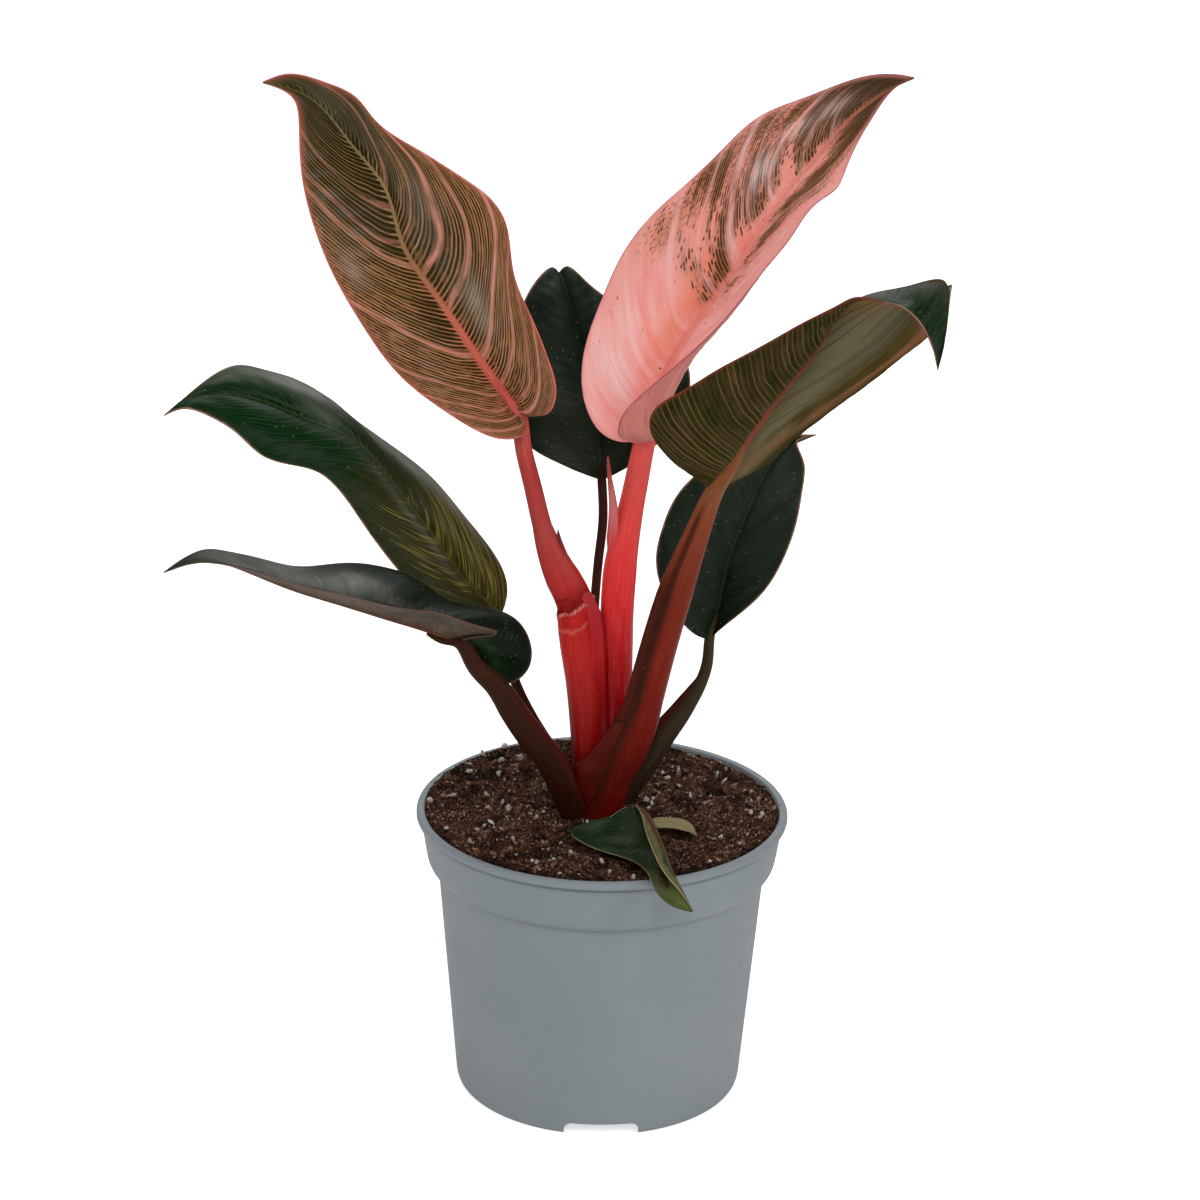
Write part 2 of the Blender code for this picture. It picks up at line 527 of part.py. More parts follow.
def main():
    clearScene()
    plant = newCollection("potted_philodendron")
    cutters = newCollection("cutters")
    greyPlastic = material("grey_plastic", (0.24, 0.28, 0.32), 0.5)
    soilBrown = material("soil", (0.045, 0.024, 0.015), 0.95)
    pink = material("pink_leaf", (0.75, 0.33, 0.30), 0.4)
    striped = material("striped_leaf", (0.22, 0.15, 0.07), 0.4)
    darkGreen = material("green_leaf", (0.02, 0.05, 0.03), 0.4)
    redStalk = material("red_stalk", (0.55, 0.03, 0.04), 0.4)
    brownStalk = material("brown_stalk", (0.10, 0.035, 0.025), 0.45)
    paleLeaf = material("faded_leaf", (0.20, 0.25, 0.07), 0.6)
    finish = {"leaf_1": striped, "leaf_2": pink, "leaf_scrap": paleLeaf, "stalk_1": redStalk,
              "stalk_2": redStalk, "stalk_4": redStalk}

    pot = buildPot(cutters)
    pot.data.materials.append(greyPlastic)
    plant.objects.link(pot)
    spaces = {name: asCutter(stalkMesh("space_" + name, stalk, GAP), cutters)
              for name, stalk in STALKS.items()}
    soil = buildSoil(spaces)
    soil.data.materials.append(soilBrown)
    plant.objects.link(soil)

    leaves = dict(LEAVES, old_leaf=OLD_LEAF, leaf_scrap=SCRAP)
    for name, leaf in leaves.items():
        made = bladeMesh(name, leaf)
        plant.objects.link(made)
        cut(made, asCutter(knuckle(leaf), cutters), "UNION", crossed=True)
        if name in LEAVES:
            cut(made, spaces[name.replace("leaf", "stalk")])
        largestPiece(made)
        made.data.materials.append(finish.get(name, darkGreen))

    # The youngest stalk stands in the middle and each older one wraps round those before it.
    inner = []
    for name, stalk in STALKS.items():
        made = stalkMesh(name, stalk)
        plant.objects.link(made)
        for space in inner:
            cut(made, space)
        largestPiece(made)
        made.data.materials.append(finish.get(name, brownStalk))
        inner.append(spaces[name])
    spike = stalkMesh("new_leaf", NEW_LEAF)
    plant.objects.link(spike)
    cut(spike, spaces["stalk_2"])
    largestPiece(spike)
    spike.data.materials.append(redStalk)

    for made in plant.objects:
        if made.name != "soil":
            made.data.shade_smooth()
            made.data.set_sharp_from_angle(angle=math.radians(40))


main()
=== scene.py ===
# A variegated philodendron in its nursery pot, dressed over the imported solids.
import math

import bmesh
import bpy
import numpy as np
from mathutils import Matrix, Vector, kdtree, noise


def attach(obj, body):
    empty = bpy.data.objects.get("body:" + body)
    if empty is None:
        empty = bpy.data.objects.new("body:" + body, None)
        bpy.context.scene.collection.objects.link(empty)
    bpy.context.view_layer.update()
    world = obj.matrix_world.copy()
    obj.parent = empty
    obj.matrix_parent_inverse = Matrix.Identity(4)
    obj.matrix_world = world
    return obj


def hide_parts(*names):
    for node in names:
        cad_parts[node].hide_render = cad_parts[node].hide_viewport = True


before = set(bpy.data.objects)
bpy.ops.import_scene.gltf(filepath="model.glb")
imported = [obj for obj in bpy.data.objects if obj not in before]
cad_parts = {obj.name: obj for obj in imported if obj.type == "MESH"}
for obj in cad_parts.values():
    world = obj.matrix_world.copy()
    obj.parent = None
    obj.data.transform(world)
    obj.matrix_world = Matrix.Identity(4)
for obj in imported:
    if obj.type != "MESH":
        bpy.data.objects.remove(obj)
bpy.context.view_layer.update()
mm = 0.001


# small helpers


def linear(colour):
    # three numbers are a colour as seen on a screen, 0 to 255; four are Blender's linear values already
    if len(colour) == 4:
        return colour
    shares = [c / 255 for c in colour]
    return tuple(s / 12.92 if s < 0.04 else ((s + 0.055) / 1.055) ** 2.4 for s in shares) + (1.0,)


def fill(socket, value):
    if isinstance(value, bpy.types.NodeSocket):
        socket.id_data.links.new(value, socket)
    else:
        socket.default_value = linear(value) if socket.type == "RGBA" else value


def put(tree, kind, wires=None, **settings):
    node = tree.nodes.new(kind)
    for key, value in settings.items():
        setattr(node, key, value)
    for key, value in (wires or {}).items():
        fill(node.inputs[key], value)
    return node


def calc(operation, *values, clamp=False):
    # at least one of the values is a socket, and the node goes into its tree
    tree = next(value.id_data for value in values if isinstance(value, bpy.types.NodeSocket))
    return put(tree, "ShaderNodeMath", dict(enumerate(values)), operation=operation, use_clamp=clamp).outputs[0]


def plus(first, second, clamp=False):
    return calc("ADD", first, second, clamp=clamp)


def minus(first, second):
    return calc("SUBTRACT", first, second)


def times(first, *others):
    for other in others:
        first = calc("MULTIPLY", first, other)
    return first


def spare(value):
    return calc("SUBTRACT", 1.0, value, clamp=True)


def between(value, low, high, bottom=0.0, top=1.0):
    # rises smoothly from bottom to top while value goes from low to high
    return put(value.id_data, "ShaderNodeMapRange", {0: value, 1: low, 2: high, 3: bottom, 4: top},
               interpolation_type="SMOOTHSTEP").outputs[0]


def blend(share, first, second):
    return put(share.id_data, "ShaderNodeMix", {0: share, 6: first, 7: second}, data_type="RGBA").outputs[2]


def ramp(value, stops):
    node = put(value.id_data, "ShaderNodeValToRGB", {0: value})
    bar = node.color_ramp
    bar.elements.remove(bar.elements[1])
    for i, (place, colour) in enumerate(stops):
        element = bar.elements.new(place) if i else bar.elements[0]
        element.position = place
        element.color = linear(colour)
    return node.outputs[0]


def scaled(vector, scale, shift=(0, 0, 0)):
    wires = {"Vector": vector, "Scale": scale, "Location": shift}
    return put(vector.id_data, "ShaderNodeMapping", wires).outputs[0]


def cloudy(vector, scale, detail=2.0, rough=0.5):
    return put(vector.id_data, "ShaderNodeTexNoise",
               {"Vector": vector, "Scale": scale, "Detail": detail, "Roughness": rough}).outputs[0]


def attribute(tree, name, output="Fac"):
    return put(tree, "ShaderNodeAttribute", attribute_name=name).outputs[output]


def ownPlace(tree):
    return put(tree, "ShaderNodeTexCoord").outputs["Object"]


def apart(vector):
    return put(vector.id_data, "ShaderNodeSeparateXYZ", {0: vector}).outputs


def newMaterial(name, colour, roughness):
    made = bpy.data.materials.new(name)
    made.use_nodes = True
    made.diffuse_color = linear(colour)
    shader = made.node_tree.nodes["Principled BSDF"]
    shader.inputs["Roughness"].default_value = roughness
    return made, made.node_tree, shader


def newGroup(name, given, made):
    # sockets by name: UV and Vector carry vectors, the others one number
    tree = bpy.data.node_groups.new(name, "ShaderNodeTree")
    for labels, way in ((given, "INPUT"), (made, "OUTPUT")):
        for label in labels.split():
            kind = "NodeSocketVector" if label in ("UV", "Vector") else "NodeSocketFloat"
            tree.interface.new_socket(label, in_out=way, socket_type=kind)
    return tree, tree.nodes.new("NodeGroupInput").outputs, tree.nodes.new("NodeGroupOutput").inputs


def useGroup(tree, group, wires):
    return put(tree, "ShaderNodeGroup", wires, node_tree=group).outputs


def bump(shader, height, distance, strength=1.0):
    wires = {"Height": height, "Distance": distance, "Strength": strength}
    fill(shader.inputs["Normal"], put(shader.id_data, "ShaderNodeBump", wires).outputs[0])


def newObject(name, data, smooth=True):
    made = bpy.data.objects.new(name, data)
    bpy.context.scene.collection.objects.link(made)
    if smooth:
        data.shade_smooth()
    return made


def bake(made):
    # turns the live modifiers into a plain mesh
    bpy.context.view_layer.update()
    mesh = bpy.data.meshes.new_from_object(made.evaluated_get(bpy.context.evaluated_depsgraph_get()))
    made.modifiers.clear()
    made.data = mesh


def outward(mesh, merge=0.0):
    shape = bmesh.new()
    shape.from_mesh(mesh)
    if merge:
        bmesh.ops.remove_doubles(shape, verts=shape.verts, dist=merge)
    bmesh.ops.recalc_face_normals(shape, faces=shape.faces)
    shape.to_mesh(mesh)
    shape.free()


def settle(piece, slot, *nodes):
    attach(piece, "root")
    if nodes:
        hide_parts(*nodes)


def unit(vectors):
    return vectors / np.maximum(np.linalg.norm(vectors, axis=-1, keepdims=True), 1e-9)


def curveThrough(points, shares):
    # a smooth curve through the points, read at shares 0 to 1 of its length
    knots = np.array(points, float)
    count = len(knots)
    steps = np.linalg.norm(np.diff(knots, axis=0), axis=1)
    place = np.concatenate([[0.0], np.cumsum(steps)])
    place /= place[-1]
    gaps = np.diff(place)
    left = np.eye(count)
    right = np.zeros_like(knots)
    for i in range(1, count - 1):
        left[i, i - 1] = gaps[i - 1]
        left[i, i] = 2 * (gaps[i - 1] + gaps[i])
        left[i, i + 1] = gaps[i]
        right[i] = 6 * ((knots[i + 1] - knots[i]) / gaps[i] - (knots[i] - knots[i - 1]) / gaps[i - 1])
    bend = np.linalg.solve(left, right)
    at = np.asarray(shares, float)
    k = np.clip(np.searchsorted(place, at, side="right") - 1, 0, count - 2)
    span = gaps[k][:, None]
    ahead = (place[k + 1] - at)[:, None]
    behind = (at - place[k])[:, None]
    curved = (bend[k] * ahead**3 + bend[k + 1] * behind**3) / (6 * span)
    return (curved + (knots[k] / span - bend[k] * span / 6) * ahead
            + (knots[k + 1] / span - bend[k + 1] * span / 6) * behind)


def keyed(keys, shares):
    return np.interp(shares, np.linspace(0, 1, len(keys)), keys)


# camera, light and floor

# metres, degrees and watts
stage = dict(
    distance=1.3, elevation=20.75, roll=1.05, aim=0.1666, lens=122.94, shift=-0.004917, sensor=36, near=0.05,
    backdrop=1.0, ambient=0.12, lightAim=(0, 0, 0.17),
    floor=((-6, -3, 0), (6, -3, 0), (6, 9, 0), (-6, 9, 0)),
    # the paper's tones as linear values, and its glow: thrown on things, seen near the pot, seen far off
    paper=((0.93, 0.93, 0.93, 1), (0.97, 0.97, 0.97, 1)), glow=(0.1, 0.62, 0.9),
    # each light: place, width and height, watts, colour
    lights=dict(
        above=((0.0, 0.75, 1.2), (1.2, 0.7), 10.0, (1.0, 0.99, 0.98)),
        front=((0.15, -1.7, 1.5), (1.4, 0.9), 15.8, (1.0, 0.995, 0.99)),
        keyRight=((1.15, -0.8, 0.9), (0.5, 0.8), 6.4, (1.0, 0.98, 0.95)),
        fillLeft=((-1.2, -0.7, 0.8), (0.6, 0.8), 4.8, (1.0, 0.97, 0.93)),
    ),
)


def buildStage():
    scene = bpy.context.scene
    scene.view_settings.view_transform = "Standard"
    lift = math.radians(stage["elevation"])
    view = bpy.data.cameras.new("camera")
    view.lens = stage["lens"]
    view.sensor_width = stage["sensor"]
    view.shift_x = stage["shift"]
    view.clip_start = stage["near"]
    camera = newObject("camera", view, smooth=False)
    away, up = stage["distance"] * math.cos(lift), stage["distance"] * math.sin(lift)
    camera.location = (0, -away, stage["aim"] + up)
    turn = Matrix.Rotation(math.pi / 2 - lift, 4, "X") @ Matrix.Rotation(math.radians(stage["roll"]), 4, "Z")
    camera.rotation_euler = turn.to_euler()
    scene.camera = camera

    for name, (place, size, power, colour) in stage["lights"].items():
        lamp = bpy.data.lights.new(name, "AREA")
        lamp.shape = "RECTANGLE"
        lamp.size, lamp.size_y = size
        lamp.energy = power
        lamp.color = colour
        made = newObject(name, lamp, smooth=False)
        made.location = place
        made.rotation_euler = (Vector(stage["lightAim"]) - Vector(place)).to_track_quat("-Z", "Y").to_euler()

    white = (1, 1, 1, 1)
    world = bpy.data.worlds.new("studio")
    scene.world = world
    world.use_nodes = True
    tree = world.node_tree
    backdrop = tree.nodes["Background"]
    seen = put(tree, "ShaderNodeLightPath").outputs["Is Camera Ray"]
    fill(backdrop.inputs["Color"], white)
    fill(backdrop.inputs["Strength"], between(seen, 0, 1, stage["ambient"], stage["backdrop"]))

    floorMesh = bpy.data.meshes.new("floor")
    floorMesh.from_pydata(stage["floor"], [], [(0, 1, 2, 3)])
    floor = newObject("floor", floorMesh, smooth=False)
    paper, tree, shader = newMaterial("paper", white, 0.9)
    fibre = cloudy(ownPlace(tree), 60, 4)
    fill(shader.inputs["Base Color"], ramp(fibre, [(0, stage["paper"][0]), (1, stage["paper"][1])]))
    fill(shader.inputs["Specular IOR Level"], 0.1)
    fill(shader.inputs["Emission Color"], white)
    # the paper looks as bright as the backdrop, and throws only a little light upwards
    thrown, nearGlow, farGlow = stage["glow"]
    looked = put(tree, "ShaderNodeLightPath").outputs["Is Camera Ray"]
    out = put(tree, "ShaderNodeVectorMath", {0: ownPlace(tree)}, operation="LENGTH").outputs["Value"]
    shown = between(out, 0.25, 1.6, nearGlow, farGlow)
    fill(shader.inputs["Emission Strength"], plus(thrown, times(looked, minus(shown, thrown))))
    floorMesh.materials.append(paper)
    print("stage ready")


buildStage()


# effects that several materials share


def buildVeinGroup():
    # side veins, counted along the blade; Off is 0 on a vein and 1 midway between two
    tree, given, out = newGroup("sideVeins", "UV Count Sway Width", "Line Random Cell Off")
    parts = apart(given["UV"])
    drift = cloudy(scaled(given["UV"], (14, 5, 1)), 1.0, 2)
    ticks = plus(times(parts[0], given["Count"]), times(minus(drift, 0.5), given["Sway"]))
    nearest = calc("ROUND", ticks)
    off = times(calc("ABSOLUTE", minus(ticks, nearest)), 2.0)
    fill(out["Line"], between(off, given["Width"], times(given["Width"], 0.4)))
    fill(out["Off"], off)
    side = times(calc("GREATER_THAN", parts[1], 0.5), 517.0)  # the two halves of a blade draw other numbers
    for label, number in (("Random", nearest), ("Cell", calc("FLOOR", ticks))):
        chance = put(tree, "ShaderNodeTexWhiteNoise", {"W": plus(number, side)}, noise_dimensions="1D")
        fill(out[label], chance.outputs[0])
    return tree


def buildDashGroup():
    # dark dashes in the rows between two veins; each row reads its own stretch of one noise
    tree, given, out = newGroup("veinDashes", "UV Cell Off Length Amount Fill", "Mask")
    way = plus(times(apart(given["UV"])[1], given["Length"]), times(given["Cell"], 91.0))
    field = put(tree, "ShaderNodeTexNoise", {"W": way, "Scale": 1.0, "Detail": 1.5},
                noise_dimensions="1D").outputs[0]
    edge = minus(1.0, given["Amount"])
    on = between(field, minus(edge, 0.05), plus(edge, 0.05))
    inner = minus(1.0, given["Fill"])
    across = between(given["Off"], minus(inner, 0.12), plus(inner, 0.12))
    fill(out["Mask"], times(on, across))
    return tree


def buildStreakGroup():
    # long soft streaks that run along the side veins
    tree, given, out = newGroup("veinStreaks", "UV Count Length Amount Soft", "Mask Field")
    parts = apart(given["UV"])
    spot = put(tree, "ShaderNodeCombineXYZ", {0: times(parts[0], given["Count"]),
                                              1: times(parts[1], given["Length"])}).outputs[0]
    field = cloudy(spot, 1.0, 2.5, 0.55)
    edge = minus(1.0, given["Amount"])
    fill(out["Mask"], between(field, minus(edge, given["Soft"]), plus(edge, given["Soft"])))
    fill(out["Field"], field)
    return tree


def buildSpeckleGroup():
    # small scattered specks and a fine grain, from a position
    tree, given, out = newGroup("specks", "Vector Scale Amount", "Mask Grain")
    cell = put(tree, "ShaderNodeTexVoronoi", {"Vector": given["Vector"], "Scale": given["Scale"]}).outputs
    pick = put(tree, "ShaderNodeSeparateColor", {0: cell["Color"]}).outputs[0]
    chosen = between(pick, minus(1.0, given["Amount"]), minus(1.02, given["Amount"]))
    fill(out["Mask"], times(between(cell["Distance"], 0.38, 0.12), chosen))
    fill(out["Grain"], cloudy(given["Vector"], times(given["Scale"], 1.7), 3, 0.6))
    return tree


veinGroup = buildVeinGroup()
dashGroup = buildDashGroup()
streakGroup = buildStreakGroup()
speckleGroup = buildSpeckleGroup()


# leaves

# The rails are shared with the solids, in millimetres. Both margins run from the midrib's first point to its
# last, and only the points between are listed. The old leaf lies on the soil with its tip over the rim and
# its right half folded back.
leafRails = dict(
    leaf_1=dict(
        rib=[
            (-29, 18, 223), (-42, 27, 238), (-56, 38, 255), (-67, 48, 269), (-73, 58, 284), (-84, 66, 296),
            (-98, 72, 310), (-114, 75, 314)],
        left=[
            (-27, 9, 218), (-32, 8, 217), (-41, 9, 219), (-53, 13, 225), (-66, 20, 233), (-79, 30, 247),
            (-89, 40, 261), (-96, 48, 276), (-100, 56, 291), (-101, 63, 303), (-103, 69, 310)],
        right=[
            (-23, 11, 224), (-19, 8, 226), (-17, 10, 230), (-19, 16, 240), (-25, 25, 252), (-31, 34, 264),
            (-34, 43, 278), (-39, 49, 284), (-49, 54, 290), (-63, 60, 297), (-77, 66, 305), (-83, 70, 311),
            (-93, 73, 315), (-106, 75, 317)],
        archLeft=(0.25, 0.2, 0.1), archRight=(0.35, 0.3, 0.1), lobes=0.15),
    leaf_2=dict(
        rib=[
            (12, 14, 218), (15, 18, 229), (20, 23, 240), (28, 30, 251), (36, 37, 261), (43, 43, 270),
            (52, 50, 284), (63, 56, 296), (74, 61, 308), (85, 65, 316), (96, 68, 321)],
        left=[
            (7, 11, 216), (-2, 9, 219), (-7, 11, 226), (-9, 16, 234), (-8, 22, 244), (-3, 31, 257),
            (3, 39, 269), (13, 46, 281), (24, 52, 290), (35, 57, 300), (46, 62, 309), (61, 65, 315),
            (75, 68, 320), (88, 69, 322)],
        right=[
            (7, 6, 218), (3, 1, 222), (4, 0, 228), (9, 1, 234), (19, 5, 242), (28, 10, 249), (39, 16, 260),
            (48, 23, 270), (56, 31, 278), (64, 39, 287), (71, 45, 291), (73, 49, 294), (77, 55, 302),
            (83, 61, 311), (91, 67, 319)],
        archLeft=(0.2, 0.15, 0.1), archRight=(-1.1, -0.3, 0.0, 0.05), lobes=0.12),
    leaf_3=dict(
        rib=[
            (-2, 34, 195), (-3, 41, 206), (-6, 51, 218), (-10, 63, 231), (-14, 75, 243), (-17, 86, 249),
            (-18, 96, 245)],
        left=[
            (-7, 30, 198), (-16, 30, 202), (-25, 33, 206), (-31, 38, 212), (-34, 46, 221), (-33, 56, 231),
            (-30, 66, 241), (-25, 76, 249), (-20, 86, 251)],
        right=[
            (2, 31, 198), (8, 31, 202), (16, 34, 208), (24, 39, 217), (26, 45, 225), (24, 53, 231),
            (14, 63, 237), (3, 73, 242), (-7, 80, 247), (-14, 87, 251)],
        archLeft=(0.2, 0.2, 0.1), archRight=(0.2, 0.2, 0.1), lobes=0.14),
    leaf_4=dict(
        rib=[
            (33, -28, 214), (41, -38, 232), (51, -49, 252), (62, -62, 273), (69, -73, 288), (77, -81, 294.2),
            (85.8, -88, 298.4), (95, -92.8, 300.8), (96.2, -94, 292), (94, -91, 273)],
        left=[
            (26, -28, 219), (17, -28, 226), (13, -28, 232), (13, -30, 239), (21, -34, 247), (31, -41, 256),
            (44, -51, 267), (57, -63, 279), (66, -75, 288), (71, -84, 293), (78, -92, 294), (84, -97, 293),
            (89, -99, 288), (92, -96, 281)],
        right=[
            (37, -27, 214), (41, -25, 219), (51, -24, 225), (59, -24, 233), (66, -26, 240), (76, -33, 250),
            (87, -44, 263), (94, -55, 273), (97, -68, 286), (98, -80, 296), (97, -88, 294), (96, -93, 287),
            (95, -93, 279)],
        archLeft=(0.1, 0.2, 0.4, 0.2), archRight=(0.2, 0.25, 0.1), lobes=0.14),
    leaf_5=dict(
        rib=[
            (34, 30, 142), (37, 36, 152), (40, 43, 165), (45, 50, 177), (51, 57, 189), (58, 63, 197),
            (68.5, 67, 201)],
        left=[
            (29, 27, 145), (24, 27, 150), (19, 30, 157), (16, 35, 168), (18, 41, 177), (22, 47, 185),
            (31, 53, 193), (43, 59, 198), (56, 64, 201)],
        right=[
            (39, 28, 148), (45, 29, 153), (52, 33, 159), (58, 39, 168), (62, 46, 178), (64, 53, 188),
            (64, 58, 195), (62, 63, 200)],
        archLeft=(0.2, 0.15, 0.1), archRight=(0.2, 0.15, 0.1), lobes=0.06),
    leaf_6=dict(
        rib=[
            (-34, 17, 154), (-44, 20, 163), (-54, 24, 176), (-64, 28, 188), (-72, 32, 198), (-82, 35, 207),
            (-98, 38, 213), (-114, 39, 219), (-127, 37, 221), (-137, 34, 219), (-143, 31, 215)],
        left=[
            (-41, 13, 153), (-49, 12, 157), (-60, 12, 164), (-69, 14, 173), (-78, 18, 184), (-86, 22, 194),
            (-93, 25, 199), (-102, 26, 201), (-111, 26, 204), (-119, 27, 211), (-128, 29, 216),
            (-136, 30, 218)],
        right=[
            (-32, 19, 159), (-32, 21, 164), (-36, 25, 172), (-46, 31, 183), (-57, 37, 194), (-69, 42, 202),
            (-82, 46, 210), (-94, 49, 218), (-102, 51, 222), (-112, 51, 225), (-120, 49, 227), (-128, 44, 225),
            (-137, 37, 219)],
        archLeft=(0.3, 0.25, 0.2), archRight=(0.5, 0.5, 0.3), lobes=0.08),
    leaf_7=dict(
        rib=[
            (-47, -8, 155), (-55, -10, 159), (-68, -13, 164), (-83, -17, 170), (-99, -20, 176),
            (-112, -22, 182), (-123, -22, 185), (-138, -20, 180)],
        left=[
            (-40, -16, 160), (-34, -24, 164), (-41, -29, 168), (-51, -33, 173), (-63, -37, 176),
            (-78, -41, 181), (-94, -42, 185), (-108, -39, 188), (-118, -33, 188), (-127, -27, 186)],
        right=[
            (-42, -6, 150), (-37, -3, 143), (-30, 2, 137), (-25, 3, 141), (-24, 4, 149), (-28, 6, 156),
            (-40, 8, 160), (-51, 9, 162), (-59, 9, 168), (-69, 9, 172), (-83, 8, 174), (-97, 4, 174),
            (-109, -3, 179), (-120, -10, 184), (-126, -15, 186), (-132, -18, 184)],
        archLeft=(0.1, 0.1, 0.1), archRight=(0.3, 0.25, 0.1), lobes=0.2),
    old_leaf=dict(
        rib=[
            (10.9, -8, 99.1), (15.4, -19, 98.4), (18.2, -31.7, 98.2), (20.6, -45.3, 98.2), (22.4, -56.1, 98),
            (24.8, -64.9, 97), (28.9, -70, 91)],
        left=[
            (6.4, -11.5, 99.8), (1.3, -14, 97.3), (-5.4, -17, 96.8), (-9.8, -20.3, 95), (-7.8, -26.5, 94.7),
            (-1.4, -33, 94.3), (5.9, -37.6, 94.1), (12.2, -48.8, 96.2), (15.2, -60.6, 97.2), (17.1, -67.5, 96),
            (21.4, -70.6, 93.5)],
        right=[
            (11.5, -12, 100.6), (12.4, -16.2, 101.2), (14.3, -32.1, 101.6), (16.1, -44.7, 101.6),
            (18.3, -56.3, 101.4), (21, -64.4, 100.4), (25.1, -68.1, 96.8)],
        archLeft=(0.1, 0.1, 0.1), archRight=(-0.3, -0.4, -0.2), lobes=0.06),
    leaf_scrap=dict(
        rib=[(15.5, -12.8, 94.9), (20.9, -11.6, 94.5), (26, -14.4, 94.9), (30.7, -21.4, 94.4)],
        left=[(17.7, -8.6, 94.7), (21.9, -8.4, 94.8), (26.7, -10.8, 95), (28.9, -15, 94.9)],
        right=[(17.4, -16.2, 95), (21.8, -16.2, 94.8), (26, -17.3, 94.5), (28.9, -18.7, 94.4)],
        archLeft=(0.3, 0.3, 0.2), archRight=(0.3, 0.3, 0.2), lobes=0.08))

